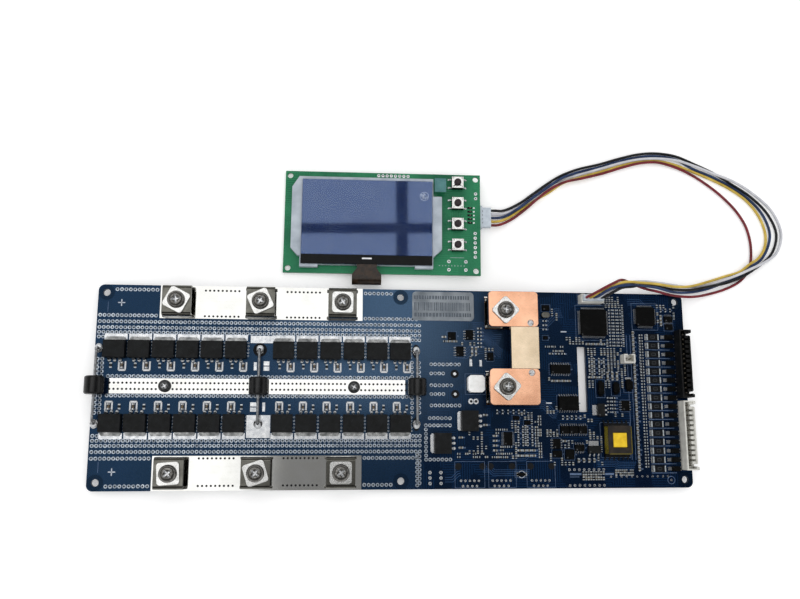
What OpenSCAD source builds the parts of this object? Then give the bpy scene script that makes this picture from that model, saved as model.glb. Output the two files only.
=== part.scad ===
// Battery management board with a plug-on display unit.
// A power board carries two rows of switching transistors between bolted terminals,
// a current shunt, the cell sense headers and the control electronics. A five-wire
// cable joins it to a small display board with four push buttons.
// All lengths are in millimetres. The origin is the centre of the mounting pattern
// on the underside of the power board, with +X along its length and +Z up.

/* [Power board] */
// Length of the power board
board_l = 300; // [298:1:320]
// Width of the power board
board_w = 100; // [100:1:112]
// Thickness of the power board
board_t = 2; // [1.6:0.1:3]
// Radius of the board corners
board_r = 3; // [1:0.5:3.5]
// Distance of the mounting holes from the board edges
hole_inset = 4; // [3.5:0.25:5]
// Diameter of the mounting holes
hole_d = 3.5; // [3:0.1:4]
// Length that the solder tails stand below the board
tail_l = 2.5; // [2.4:0.1:4]
// Width of the isolation slot
slot_w = 4.4; // [2:0.1:5]
// Length of the isolation slot
slot_l = 33.4; // [20:0.2:34]

/* [Tinned strips] */
// Thickness of the tinned copper on the board
strip_t = 0.2; // [0.1:0.05:0.4]
// Width of the outer tinned strips
edge_strip_w = 16.5; // [16:0.1:18]
// Length that the outer tinned strips run past their last terminal
strip_past = 10.3; // [9:0.1:12]
// Width of the centre tinned strip
mid_strip_w = 7.4; // [6.6:0.1:8]

/* [Terminals] */
// Width of the folded terminal bracket
term_w = 14; // [12:0.1:15]
// Depth of the folded terminal bracket
term_d = 15; // [14:0.1:15.6]
// Height of the terminal bracket
term_h = 8; // [6.5:0.1:11]
// Sheet thickness of the terminal bracket
term_t = 1.2; // [0.8:0.1:1.6]
// Outer bend radius of the terminal bracket
term_bend = 1.8; // [1.7:0.1:3]
// Distance between neighbouring terminals
term_pitch = 40.5; // [38:0.1:42]
// Nominal diameter of the terminal screws
screw_d = 4; // [3:0.5:5]
// Diameter of the terminal screw heads
screw_head_d = 8.4; // [7.5:0.1:9]
// Height of the terminal screw heads
screw_head_h = 2.6; // [2.4:0.1:3.2]
// Side of the square washers
washer_w = 10.6; // [9.4:0.1:11.2]
// Thickness of the square washers
washer_t = 1; // [0.6:0.1:1.6]

/* [Switching transistors] */
// Distance between neighbouring switching transistors
fet_pitch = 11.65; // [11:0.05:11.7]
// Width of the transistor case
fet_w = 10.2; // [9:0.1:10.4]
// Length of the transistor case
fet_d = 8.8; // [8:0.1:9.2]
// Height of the transistor case
fet_h = 4.4; // [3.5:0.1:5]
// Thickness of the transistor tab
tab_t = 1.3; // [0.8:0.1:1.6]
// Distance from the centre line to the middle of the transistor cases
fet_row_y = 17.9; // [17.7:0.1:18.3]

/* [Surge diodes] */
// Diameter of the surge diode body
surge_d = 9.2; // [8:0.1:9.4]
// Length of the surge diode body
surge_l = 8.8; // [8:0.1:9.4]
// Diameter of the surge diode leads
surge_lead_d = 1.3; // [0.8:0.1:1.5]
// Distance between the two joints of a surge diode
surge_span = 36.4; // [35:0.1:37]

/* [Shunt] */
// Distance between the two shunt terminals
shunt_span = 38.5; // [37:0.1:40]
// Width of the copper ends
shunt_w = 25.4; // [24:0.1:26]
// Depth of the copper ends
shunt_d = 18; // [16.5:0.1:18.5]
// Thickness of the shunt
shunt_t = 3; // [2:0.1:4]
// Width of the resistive strip
shunt_strip_w = 14.2; // [10:0.1:16]

/* [Sense headers] */
// Number of ways of each cell sense header
sense_ways = 13; // [10:1:13]
// Pin pitch of the sense headers
sense_pitch = 2.5; // [2:0.05:2.54]
// Depth of the sense headers
sense_d = 5.75; // [5.4:0.05:6]
// Height of the sense headers
sense_h = 7; // [6:0.1:8]

/* [Cable connectors] */
// Number of ways of the cable connectors
cable_ways = 5; // [5:1:5]
// Pin pitch of the cable connectors
cable_pitch = 2; // [2:0.05:2.1]
// Depth of the upright cable header
cable_header_d = 4.5; // [4.3:0.1:5]
// Height of the upright cable header
cable_header_h = 6; // [5.5:0.1:7]
// Height of the side-entry cable socket under the display board
side_socket_h = 4.8; // [4.6:0.1:5.6]
// Diameter of each wire of the cable
wire_d = 1.4; // [1:0.1:1.6]

/* [Display unit] */
// Width of the display board
disp_w = 102; // [101:0.5:110]
// Depth of the display board
disp_d = 54.2; // [54:0.1:60]
// Thickness of the display board
disp_t = 1.6; // [1.2:0.1:2]
// Angle of the display unit on the table
disp_yaw = -0.5; // [-2:0.1:2]
// Height of the backlight frame
frame_h = 3.2; // [2.4:0.1:4]
// Thickness of one glass plate of the display
glass_t = 0.8; // [0.5:0.05:1.1]
// Diameter of the push buttons
button_d = 3.4; // [2.8:0.1:3.6]
// Travel of the push buttons
button_travel = 0.25; // [0.15:0.05:0.3]
// Height of the button tops above the display board
button_top = 5; // [4.3:0.1:7]
// Distance between neighbouring push buttons
button_pitch = 11.15; // [8:0.05:11.2]

/* [Hidden] */
$fn = 48;

eps = 0.02;                       // overshoot of a cutter past a face
run_gap = 0.1;                    // clearance of a pin or a leg in its hole
edge_x = board_l / 2;
edge_y = board_w / 2;
top = board_t;                    // upper face of the power board
pad = board_t + strip_t;          // upper face of the tinned strips
floor_z = -tail_l;                // table on which the solder tails stand

// The control section on the right keeps its length. It keeps its distance to the right
// edge and, left of the balancing zone, to the upper edge. The power section on the left
// takes the rest of the board, with as many terminals and transistors as fit.
control_l = 144;
control_x = edge_x - 150;
control_y = edge_y - 50;
balance_zone = 120;
function control(x, y) = [control_x + x, y + (x < balance_zone ? control_y : 0), top];

first_term = 39.2;                // from the left edge to the first terminal
term_n = floor((board_l - control_l - first_term - strip_past) / term_pitch) + 1;
function term_x(i) = first_term - edge_x + i * term_pitch;
term_y = edge_y - 1 - term_d / 2;
edge_strip_from = 30 - edge_x;
edge_strip_to = term_x(term_n - 1) + strip_past;
edge_strip_y = edge_y - edge_strip_w / 2;
fet_x0 = 9.75 - edge_x;
fet_places = floor((board_l - control_l - 2) / fet_pitch);
mid_place = floor(fet_places / 2);            // the middle surge diode takes this place
fet_slots = [for (i = [0:fet_places - 1]) if (i != mid_place) i];
surge_x = [2 - edge_x, fet_x0 + mid_place * fet_pitch, fet_x0 + fet_places * fet_pitch - 3.4];
mid_strip_x = [surge_x[0] + surge_d / 2 + 1, surge_x[2] - surge_d / 2 - 1];
strip_screw_x = [surge_x[0] + 32.2, surge_x[2] - 31.3];
slot_place = control(94, 4.8);

// Terminals of the two edge strips and of the shunt: place, what lies under the washer,
// and the angle at which each washer was left
shunt_x = control_x + 51.9;
shunt_y = control_y;                          // lower terminal of the shunt
washer_turn = [[-27, 25, -1], [4, 18, 0]];
terminals = [
    for (i = [0:term_n - 1]) [term_x(i), term_y, 0, washer_turn[0][i % 3]],
    for (i = [0:term_n - 1]) [term_x(i), -term_y, 0, washer_turn[1][i % 3]],
    [shunt_x, shunt_y + shunt_span, shunt_t, 45], [shunt_x, shunt_y, shunt_t, 50]];
leg_w = 2.2;                      // width of a bracket leg
leg_dx = term_w / 2 - 0.9;        // legs sit near the ends of the bracket walls
term_base = pad;
shunt_z = pad + term_h;           // underside of the shunt

// Solder tails of the wired parts
header_pin = 0.64;
cable_pin = 0.5;
sense_l = (sense_ways - 1) * sense_pitch + 4.9;
sense_x = edge_x - sense_d / 2 + 0.1;
sense_pin_x = sense_x - sense_d / 2 + 2.35;
sense_y = [12.9, -23.7];
cable_l = (cable_ways - 1) * cable_pitch + 3.9;
cable_header_x = control_x + 99.3;
cable_header_y = edge_y - 1.5 - cable_header_d / 2;
probe_ways = 2;
probe_l = (probe_ways - 1) * cable_pitch + 3.9;
probe_x = control(117.6, 15.2)[0];
probe_y = control(117.6, 15.2)[1];
header_wall = 0.6;
header_floor = 1.6;

// ---------------------------------------------------------------- shared shapes

module rounded_rect(w, d, r) {
    square([w - 2 * r, d], center = true);
    square([w, d - 2 * r], center = true);
    for (sx = [-1, 1], sy = [-1, 1])
        translate([sx * (w / 2 - r), sy * (d / 2 - r)]) circle(r);
}

// Block that stands on z = 0, centred in plan
module block(w, d, h) translate([-w / 2, -d / 2, 0]) cube([w, d, h]);

// Profile in the YZ plane, extruded by w along X and centred
module extrude_x(w) translate([-w / 2, 0, 0]) rotate([90, 0, 90]) linear_extrude(w) children();

// Moulded case: sides that taper to a waist line, seen from the end
module moulded_case(w, d, h, draft = 0.25)
    extrude_x(w) polygon([[-d / 2 + draft, 0], [d / 2 - draft, 0], [d / 2, h * 0.45],
        [d / 2 - draft, h], [-d / 2 + draft, h], [-d / 2, h * 0.45]]);

// Row of n places along X, centred
module row(n, pitch) for (i = [0:n - 1]) translate([(i - (n - 1) / 2) * pitch, 0, 0]) children();

// Gull-wing lead that leaves a case at y = 0, height h, and stands on z = 0 at y = l
module gull_lead(l, h, w, t)
    extrude_x(w) polygon([[0, h + t / 2], [0, h - t / 2], [l * 0.3, h - t / 2],
        [l * 0.5, 0], [l, 0], [l, t], [l * 0.5 + t * 0.8, t], [l * 0.3 + t * 0.8, h + t / 2]]);

// Two rows of leads, on the -Y and +Y sides of a case of depth d
module lead_rows(n, pitch, d, l, h, w, t)
    for (turn = [0, 180]) rotate(turn) row(n, pitch) translate([0, d / 2, 0]) gull_lead(l, h, w, t);

module pan_screw(d, head_d, head_h, l) {
    recess = head_d * 0.5;
    difference() {
        union() {
            cylinder(d = head_d, h = head_h * 0.6);
            translate([0, 0, head_h * 0.6]) cylinder(d1 = head_d, d2 = head_d * 0.72, h = head_h * 0.4);
            translate([0, 0, -l]) cylinder(d = d, h = l + eps);
        }
        for (turn = [0, 90]) rotate(turn)
            translate([0, 0, head_h * 0.45]) block(recess, recess * 0.24, head_h);
    }
}

// ---------------------------------------------------------------- power board

module mounting_holes()
    for (x = [-edge_x + hole_inset, 0, edge_x - hole_inset], sy = [-1, 1])
        translate([x, sy * (edge_y - hole_inset)]) circle(d = hole_d);

// Holes in the board and its strips for everything that is soldered or screwed through
module through_holes() {
    for (t = terminals) translate([t[0], t[1]]) bracket_leg_plan(run_gap);
    for (x = surge_x, sy = [-1, 1])
        translate([x, sy * surge_span / 2]) circle(d = surge_lead_d + 2 * run_gap);
    for (x = strip_screw_x) translate([x, 0]) circle(d = 3 + 2 * run_gap);
    for (y = sense_y) translate([sense_pin_x, y]) rotate(90)
        row(sense_ways, sense_pitch) circle(d = header_pin * 1.6);
    translate([cable_header_x, cable_header_y])
        row(cable_ways, cable_pitch) circle(d = cable_pin * 1.7);
    translate([probe_x, probe_y]) row(probe_ways, cable_pitch) circle(d = cable_pin * 1.7);
}

module main_board()
    color("midnightblue") linear_extrude(board_t) difference() {
        rounded_rect(board_l, board_w, board_r);
        mounting_holes();
        through_holes();
        translate([slot_place[0], slot_place[1]]) square([slot_w, slot_l], center = true);
    }

module tinned_strips()
    color("gainsboro") translate([0, 0, top]) linear_extrude(strip_t) difference() {
        union() {
            for (sy = [-1, 1]) translate([edge_strip_from, sy * edge_strip_y - edge_strip_w / 2])
                square([edge_strip_to - edge_strip_from, edge_strip_w]);
            translate([mid_strip_x[0], -mid_strip_w / 2])
                square([mid_strip_x[1] - mid_strip_x[0], mid_strip_w]);
            for (y = [0, shunt_span]) translate([shunt_x, shunt_y + y])
                square([term_w + 3, term_d + 2], center = true);
        }
        through_holes();
    }

// ---------------------------------------------------------------- terminals

module bracket_leg_plan(gap = 0)
    for (sx = [-1, 1], sy = [-1, 1])
        translate([sx * leg_dx, sy * (term_d - term_t) / 2])
            square([leg_w + 2 * gap, term_t + 2 * gap], center = true);

// Section of the folded bracket: a channel that opens downwards
module bracket_section() difference() {
    intersection() {
        translate([0, 0]) rounded_rect(term_d, 2 * term_h, term_bend);
        translate([-term_d, 0]) square([2 * term_d, term_h]);
    }
    rounded_rect(term_d - 2 * term_t, 2 * (term_h - term_t), term_bend - term_t);
}

module terminal_bracket() {
    foot_h = 1.6;
    foot_out = 0.8;
    difference() {
        union() {
            extrude_x(term_w) bracket_section();
            for (sy = [-1, 1]) translate([0, sy * (term_d - term_t) / 2, 0])
                block(term_w + 2 * foot_out, term_t, foot_h);
        }
        cylinder(d = screw_d + 0.4, h = term_h + eps);
    }
    translate([0, 0, floor_z - term_base]) linear_extrude(term_base - floor_z + eps) bracket_leg_plan();
}

module terminal_brackets()
    color("silver") for (t = terminals) translate([t[0], t[1], term_base]) terminal_bracket();

nut_h = 3.2;
nut_d = term_d - 2 * term_bend - 2 * run_gap;     // clear of the inner bends
module nut_plates()
    color("darkgray") for (t = terminals)
        translate([t[0], t[1], term_base + term_h - term_t - nut_h]) difference() {
            block(9, nut_d, nut_h);
            translate([0, 0, -eps]) cylinder(d = screw_d + 0.04, h = nut_h + 2 * eps);
        }

module square_washers()
    color("whitesmoke") for (t = terminals)
        translate([t[0], t[1], term_base + term_h + t[2]]) rotate(t[3]) linear_extrude(washer_t)
            difference() {
                rounded_rect(washer_w, washer_w, 1.6);
                circle(d = screw_d + 0.4);
            }

module terminal_screws()
    color("silver") for (t = terminals)
        translate([t[0], t[1], term_base + term_h + t[2] + washer_t]) rotate(t[3] + 35)
            pan_screw(screw_d, screw_head_d, screw_head_h, washer_t + t[2] + term_t + nut_h);

module strip_screws()
    color("dimgray") for (x = strip_screw_x)
        translate([x, 0, pad]) pan_screw(3, 6, 2.2, pad + 2.3);

module strip_nuts()
    color("silver") for (x = strip_screw_x) translate([x, 0, -2]) difference() {
        cylinder(d = 6.2, h = 2, $fn = 6);
        translate([0, 0, -eps]) cylinder(d = 3.04, h = 2 + 2 * eps);
    }

// ---------------------------------------------------------------- switching transistors

slug_d = 6.5;                     // length of the tab that runs under the case
tab_out = 1.7;                    // length of the tab beyond the case
fet_lead_h = 2.4;

// Case with its tab towards +Y and its three leads towards -Y
module power_case() difference() {
    moulded_case(fet_w, fet_d, fet_h);
    translate([0, fet_d / 2 - slug_d / 2 + eps / 2, -eps]) block(fet_w - 0.6, slug_d + eps, tab_t + eps);
    for (x = [-1, 0, 1]) translate([x * 2.54, -fet_d / 2 + 0.25, fet_lead_h - 0.3]) block(1, 0.7, 0.6);
}

module power_leadframe() {
    tab_w = fet_w - 0.6;
    translate([0, fet_d / 2 - slug_d, 0]) linear_extrude(tab_t - eps)
        polygon([[-tab_w / 2, 0], [tab_w / 2, 0], [tab_w / 2, slug_d + tab_out - 0.8],
            [tab_w / 2 - 0.8, slug_d + tab_out], [-tab_w / 2 + 0.8, slug_d + tab_out],
            [-tab_w / 2, slug_d + tab_out - 0.8]]);
    for (x = [-1, 0, 1]) translate([x * 2.54, -fet_d / 2 + 0.5, 0]) mirror([0, 1, 0])
        gull_lead(2.5, fet_lead_h, 0.9, 0.5);
}

// Small tab package: tab towards +Y
small_tab_w = 6.4;
small_tab_d = 3.8;
small_tab_h = 2.3;
module small_tab_case() difference() {
    moulded_case(small_tab_w, small_tab_d, small_tab_h, 0.15);
    translate([0, small_tab_d / 2 - 1.4, -eps]) block(5.2, 2.8 + eps, 0.5 + eps);
    for (x = [-1, 0, 1]) translate([x * 2.28, -small_tab_d / 2, 0.75]) block(0.8, 0.6, 0.5);
}

module small_tab_leadframe() {
    translate([0, small_tab_d / 2 - 0.2, 0]) block(5.1, 5.2, 0.5 - eps);
    for (x = [-1, 0, 1]) translate([x * 2.28, -small_tab_d / 2 + 0.3, 0]) mirror([0, 1, 0])
        gull_lead(2.1, 1, 0.7, 0.4);
}

// Two charge control transistors on the right: place, with the tab towards -X
side_fets = [[34.5, -16.6], [20.8, -27.6]];
// Two small regulators: place and turn
small_tabs = [[98.4, -30.8, 0], [102.8, -11, 90]];

module at_each_fet() {
    for (i = fet_slots, turn = [0, 180])
        translate([fet_x0 + i * fet_pitch, (turn == 0 ? 1 : -1) * fet_row_y, top]) rotate(turn) children();
    for (p = side_fets) translate(control(p[0], p[1])) rotate(90) children();
}

module at_each_small_tab()
    for (p = small_tabs) translate(control(p[0], p[1])) rotate(p[2]) children();

module transistor_cases() color("#232528") {
    at_each_fet() power_case();
    at_each_small_tab() small_tab_case();
}

module transistor_leadframes() color("lightgray") {
    at_each_fet() power_leadframe();
    at_each_small_tab() small_tab_leadframe();
}

// Parts beside the gate of each switching transistor, on its lead side
gate_part_y = 10;
module gate_resistors()
    color("#2c2c2c") for (i = fet_slots, s = [-1, 1])
        translate([fet_x0 + i * fet_pitch + (s > 0 ? -1.8 : 3.4), s * gate_part_y, top])
            block(1.25, 2, 0.5);

module clamp_diodes()
    color("#8a6f4a") for (i = fet_slots, s = [-1, 1])
        translate([fet_x0 + i * fet_pitch + (s > 0 ? 3.6 : -1.6), s * gate_part_y + 1.7, top + 0.8])
            rotate([90, 0, 0]) cylinder(d = 1.6, h = 3.4);

// ---------------------------------------------------------------- surge diodes

surge_z = top + 0.4 + surge_d / 2;
lead_bend = 2;
module surge_diode_bodies()
    color("#1c1c1e") for (x = surge_x) translate([x, surge_l / 2, surge_z]) rotate([90, 0, 0]) {
        cylinder(d = surge_d, h = surge_l);
    }

module surge_lead() {
    run = surge_span / 2 - surge_l / 2 - lead_bend;
    rotate([-90, 0, 0]) cylinder(d = surge_lead_d, h = run);
    translate([0, run, -lead_bend]) rotate([90, 0, 90])
        rotate_extrude(angle = 90) translate([lead_bend, 0]) circle(d = surge_lead_d);
    translate([0, run + lead_bend, floor_z - surge_z])
        cylinder(d = surge_lead_d, h = surge_z - floor_z - lead_bend);
}

module surge_diode_leads()
    color("gainsboro") for (x = surge_x, turn = [0, 180])
        translate([x, 0, surge_z]) rotate(turn) translate([0, surge_l / 2, 0]) surge_lead();

module solder_joints()
    color("whitesmoke") for (x = surge_x, sy = [-1, 1])
        translate([x, sy * surge_span / 2, top]) difference() {
            union() {
                cylinder(d = 4.4, h = 0.4);
                translate([0, 0, 0.4]) cylinder(d1 = 4.2, d2 = 2.2, h = 1.5);
            }
            translate([0, 0, -eps]) cylinder(d = surge_lead_d + 0.04, h = 3);
        }

// ---------------------------------------------------------------- shunt

shunt_end_y = [shunt_y + shunt_span + 0.6, shunt_y];      // middle of each copper end
shunt_right = shunt_x - 8.6 + shunt_w;    // common right edge of ends and strip
module shunt_end_plan() translate([shunt_right - shunt_w / 2, 0]) rounded_rect(shunt_w, shunt_d, 2);

module shunt_copper_ends()
    color("#e8b08c") translate([0, 0, shunt_z]) difference() {
        for (y = shunt_end_y) translate([0, y, 0]) linear_extrude(shunt_t) shunt_end_plan();
        for (y = [0, shunt_span]) translate([shunt_x, shunt_y + y, -eps])
            cylinder(d = screw_d + 0.4, h = shunt_t + 2 * eps);
        for (y = sense_pin_y) translate([sense_pin_place, y, -eps])
            cylinder(d = 1.6 + 0.04, h = shunt_t + 2 * eps);
    }

sense_pin_place = shunt_right - 4;
sense_pin_y = [shunt_end_y[0] - shunt_d / 2 + 2, shunt_end_y[1] + shunt_d / 2 - 2];
module shunt_alloy_strip() {
    from = shunt_end_y[1] + shunt_d / 2;
    to = shunt_end_y[0] - shunt_d / 2;
    color("#d8c09c") translate([shunt_right - shunt_strip_w, from, shunt_z])
        cube([shunt_strip_w, to - from, shunt_t]);
}

module shunt_sense_pins()
    color("whitesmoke") for (y = sense_pin_y) translate([sense_pin_place, y, 0]) {
        translate([0, 0, top]) cylinder(d = 1.6, h = shunt_z + shunt_t - top + eps);
        translate([0, 0, shunt_z + shunt_t]) cylinder(d1 = 3.4, d2 = 2, h = 0.8);
    }

// ---------------------------------------------------------------- integrated circuits

flat_h = 1.4;                     // height of the flat square cases
processor = [100.8, 34.2, 14, 25, 0.5];   // x, y, side, leads on each side, pitch
monitor = [129, 37.8, 10, 16, 0.5];

module square_case(p) translate(control(p[0], p[1]) + [0, 0, 0.1]) linear_extrude(flat_h) difference() {
    square(p[2], center = true);
    for (s = [0:3]) rotate(90 * s) translate([p[2] / 2, p[2] / 2]) rotate(45) square(1, center = true);
}
module processor_case() color("#16181a") square_case(processor);
module monitor_case() color("#16181a") square_case(monitor);

// Small cases: x, y, width, depth, height, leads on a side, pitch, turn
small_ics = [
    [82.3, 9.8, 10.3, 4.6, 1.8, 8, 1.27, 0],
    [85.8, -7.6, 10.3, 7.2, 2.3, 8, 1.27, 0],
    [83.5, -20.9, 4.4, 3.9, 1.5, 4, 1.1, 0],
    [88.2, -20.9, 4.4, 3.9, 1.5, 4, 1.1, 0],
    [92.9, -20.9, 4.4, 3.9, 1.5, 4, 1.1, 0],
    [35.2, 26.9, 4.9, 3.9, 1.5, 4, 1.27, 90],
    [30.2, 18.4, 4.9, 3.9, 1.5, 4, 1.27, 90],
    [54.2, -25.4, 6.4, 4.4, 1.1, 10, 0.65, 90],
    [79.2, -28, 4.8, 3.9, 1.5, 4, 1.27, 90],
    [90.9, -30, 4.8, 3.2, 1.5, 4, 1.27, 0],
    [116, -8.8, 5, 3.9, 1.5, 4, 1.27, 90],
    [141.6, 36.6, 4.4, 3, 1.1, 6, 0.65, 0]];
// Leadless cases: x, y, width, depth, height
bare_ics = [[26.2, 26.3, 4, 4, 0.9], [79.4, -33, 4.6, 3.2, 1], [85.8, -33.2, 4.4, 4.8, 1.2],
    [46, 16, 3, 4, 1], [58.6, -15.1, 3, 2, 0.9], [64.4, -17.4, 3, 2, 0.9],
    [75.8, 41.6, 3.8, 2.8, 1], [141.8, 32.4, 4, 3, 1.1], [75.2, 26, 2.2, 1.6, 0.9]];

module small_ic_cases() color("#1b1d20") {
    for (p = small_ics) translate(control(p[0], p[1]) + [0, 0, 0.1]) rotate(p[7])
        moulded_case(p[2], p[3], p[4], 0.12);
    for (p = bare_ics) translate(control(p[0], p[1])) block(p[2], p[3], p[4]);
}

// A lead starts at the waist of its case
module ic_leads() color("silver") {
    for (p = [processor, monitor], s = [0:3]) translate(control(p[0], p[1])) rotate(90 * s)
        row(p[3], p[4]) translate([0, p[2] / 2, 0]) gull_lead(1, 0.75, 0.22, 0.14);
    for (p = small_ics) translate(control(p[0], p[1])) rotate(p[7])
        lead_rows(p[5], p[6], p[3], 1.1, 0.1 + p[4] * 0.45, p[6] * 0.34, 0.18);
}

// ---------------------------------------------------------------- cell balancing parts

balance_n = 16;
balance_pitch = 4.5;
balance_y0 = 27;
balance_x = edge_x - 17.4;
module at_each_cell() for (i = [0:balance_n - 1])
    translate([balance_x, balance_y0 - i * balance_pitch, top]) children();

module balance_resistors() color("#1d1d1f") at_each_cell() block(6.6, 3.1, 0.6);

module balance_transistors() color("#1b1c1f") at_each_cell()
    translate([8.6, 0, 0]) rotate(90) moulded_case(2.5, 4.4, 1.5, 0.15);

module balance_tabs() color("silver") at_each_cell() {
    translate([5.4, 0, 0]) block(2, 1.7, 0.4);
    for (y = [-0.8, 0.8]) translate([11.2, y, 0]) block(0.8, 0.5, 0.4);
}

// ---------------------------------------------------------------- headers and plugs

// Shroud of an upright pin header: open at the top, pins along X
module shroud(l, d, h, n, pitch, pin, pin_off, wall, base) {
    difference() {
        block(l, d, h);
        translate([0, 0, base]) block(l - 2 * wall, d - 2 * wall, h);
        translate([0, pin_off, -eps]) row(n, pitch) block(pin, pin, base + 2 * eps);
        for (sx = [-1, 1]) translate([sx * (l / 2 - 2.6), d / 2 - wall / 2, base])
            block(1.4, wall + 2 * eps, h);
    }
}

// Cell sense header along Y, its keyed wall and its two ears at the board edge
module sense_header() rotate(-90) {
    shroud(sense_l, sense_d, sense_h, sense_ways, sense_pitch, header_pin, 2.35 - sense_d / 2, 0.75, 2.2);
    for (sx = [-1, 1]) translate([sx * (sense_l / 2 - 0.8), sense_d / 2 + 0.3, 0]) block(1.6, 0.6, sense_h);
}
module black_header() color("#17181a") translate([sense_x, sense_y[0], top]) sense_header();
module white_header() color("#d9d9d2") translate([sense_x, sense_y[1], top]) sense_header();

module display_header()
    color("#dcdcd6") translate([cable_header_x, cable_header_y, top])
        shroud(cable_l, cable_header_d, cable_header_h, cable_ways, cable_pitch, cable_pin, 0,
            header_wall, header_floor);

module probe_header()
    color("#dcdcd6") translate([probe_x, probe_y, top])
        shroud(probe_l, cable_header_d, cable_header_h, probe_ways, cable_pitch, cable_pin, 0,
            header_wall, header_floor);

module header_pins() color("gold") {
    for (y = sense_y) translate([sense_pin_x, y, floor_z]) rotate(90)
        row(sense_ways, sense_pitch) block(header_pin, header_pin, top - floor_z + 5.6);
    for (p = [[cable_header_x, cable_header_y, cable_ways], [probe_x, probe_y, probe_ways]])
        translate([p[0], p[1], floor_z]) row(p[2], cable_pitch)
            block(cable_pin, cable_pin, top - floor_z + 4.6);
    on_display() for (i = [0:cable_ways - 1]) translate([0, socket_v + way(i), 0]) {
        translate([socket_pin_u, 0, socket_pin_w - cable_pin / 2])
            block(cable_pin, cable_pin, 0.8 - socket_pin_w + cable_pin / 2);
        translate([socket_pin_u - cable_pin / 2, -cable_pin / 2, socket_pin_w - cable_pin / 2])
            cube([socket_u + socket_d - 2.4 - socket_pin_u, cable_pin, cable_pin]);
    }
}

function way(i) = (i - (cable_ways - 1) / 2) * cable_pitch;

// Plug body with its mouth at z = 0 and its wires leaving at the top
plug_in = 4.2;                    // length inside the header
plug_out = 2.2;                   // collar that stays outside an upright header
module plug_core(l, d, h) difference() {
    block(l, d, h);
    translate([0, 0, -eps]) row(cable_ways, cable_pitch) block(cable_pin + 0.2, cable_pin + 0.2, 3.4);
    row(cable_ways, cable_pitch) translate([0, -d / 2, h - 1.6]) block(0.9, 0.8, 0.9);
}

plug_fit = 0.1;                   // play of a plug in its header, on each side
plug_l = cable_l - 2 * header_wall - 2 * plug_fit;
plug_d = cable_header_d - 2 * header_wall - 2 * plug_fit;
plug_seat = top + cable_header_h - plug_in;
module board_plug() color("whitesmoke") translate([cable_header_x, cable_header_y, plug_seat]) {
    plug_core(plug_l, plug_d, plug_in + plug_out);
}

// ---------------------------------------------------------------- transformer, choke, diodes

xfmr = control(110.1, -26.1);     // middle of the transformer
xfmr_w = 12.4;
xfmr_d = 14.4;
xfmr_h = 7;
module transformer_bobbin() color("#262321") translate(xfmr) {
    translate([0, 0, 0.4]) block(xfmr_w, xfmr_d, 1);
    for (s = [-1, 1]) translate([0, s * (xfmr_d / 2 + 0.6), 0.4]) block(xfmr_w, 1.2, 1.6);
    for (s = [0, 180]) rotate(s) row(6, 2.4) translate([0, xfmr_d / 2 + 1.2, 0])
        gull_lead(1.6, 0.9, 0.7, 0.3);
}

// Ferrite frame round the winding, with chamfered corners
xfmr_window = 7.4;
module transformer_core() color("#2b2a2c") translate(xfmr + [0, 0, 1.4])
    linear_extrude(xfmr_h - 1.4) difference() {
        square([xfmr_w, xfmr_d], center = true);
        square(xfmr_window, center = true);
        for (sx = [-1, 1], sy = [-1, 1]) translate([sx * xfmr_w / 2, sy * xfmr_d / 2])
            rotate(45) square(1, center = true);
    }

module transformer_winding() color("gold") translate(xfmr + [0, 0, 1.4])
    block(xfmr_window - 0.2, xfmr_window - 0.2, xfmr_h - 1.6);

// Square shielded choke with a pale printed top
module power_choke() color("whitesmoke") translate(control(38, 1.9)) {
    linear_extrude(4.2) difference() {
        square(8.6, center = true);
        for (s = [0:3]) rotate(90 * s) translate([4.3, 4.3]) rotate(45) square(1.8, center = true);
    }
}

// Moulded power diodes and a bulk capacitor: x, y, width, depth, height, turn
power_parts = [[111.5, 0.2, 4.4, 3.4, 2.2, 90], [118.4, 1.8, 4.2, 3.8, 2.2, 90],
    [103.3, 0.1, 6, 3.4, 2.4, 90], [60.4, 7 - edge_y - control_y, 2.6, 1.8, 1.2, 0]];
module power_diodes() color("#202124") for (p = power_parts)
    translate(control(p[0], p[1])) rotate(p[5]) {
        moulded_case(p[2], p[3], p[4], 0.2);
        for (sx = [-1, 1]) translate([sx * (p[2] / 2 + 0.5), 0, 0]) block(1, p[3] * 0.6, 0.8);
    }

// ---------------------------------------------------------------- chip parts

// Fields of chip parts: first x, first y, columns, rows, x step, y step, turn
resistor_fields = [
    [126.3, 28, 1, 46, 0, -1.5, 0],
    [110.4, 41, 3, 12, 2.3, -1.7, 0],
    [98, 14.8, 4, 4, 2.6, -2.2, 90],
    [107.6, -4.8, 2, 5, 2.4, -1.8, 0],
    [59.6, -20.2, 4, 4, 2.4, -2.6, 90],
    [78, 17.8, 3, 1, 3.2, 0, 0],
    [75, 34.8, 1, 3, 0, -2.2, 0],
    [83, -14.8, 5, 1, 2.3, 0, 90],
    [138, 41.4, 3, 1, 2.6, 0, 90],
    [49, -12, 6, 1, 2.8, 0, 90],
    [40.6, 30.4, 1, 6, 0, -1.9, 0]];
capacitor_fields = [
    [122, 29, 1, 30, 0, -2.4, 90],
    [97.6, 23, 4, 1, 2.7, 0, 0],
    [98.2, 5.8, 3, 1, 2.7, 0, 0],
    [107.4, 7.6, 3, 2, 2.5, -2.3, 90],
    [60, -31.2, 4, 2, 2.4, -2.6, 0],
    [47.6, -24, 1, 4, 0, -2.4, 0],
    [78.6, 3.8, 4, 1, 2.7, 0, 0],
    [83.4, -26.6, 1, 1, 0, 0, 0],
    [90.4, -36.2, 4, 1, 2.7, 0, 90],
    [137.6, 37.8, 1, 3, 0, -1.9, 90],
    [22.2, 25.8, 1, 1, 0, 0, 0],
    [36.6, 19.8, 2, 2, 2, -2.4, 90],
    [42.8, -13.6, 1, 2, 0, -5, 0],
    [30.2, -24.8, 1, 2, 0, -5, 0]];

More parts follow.
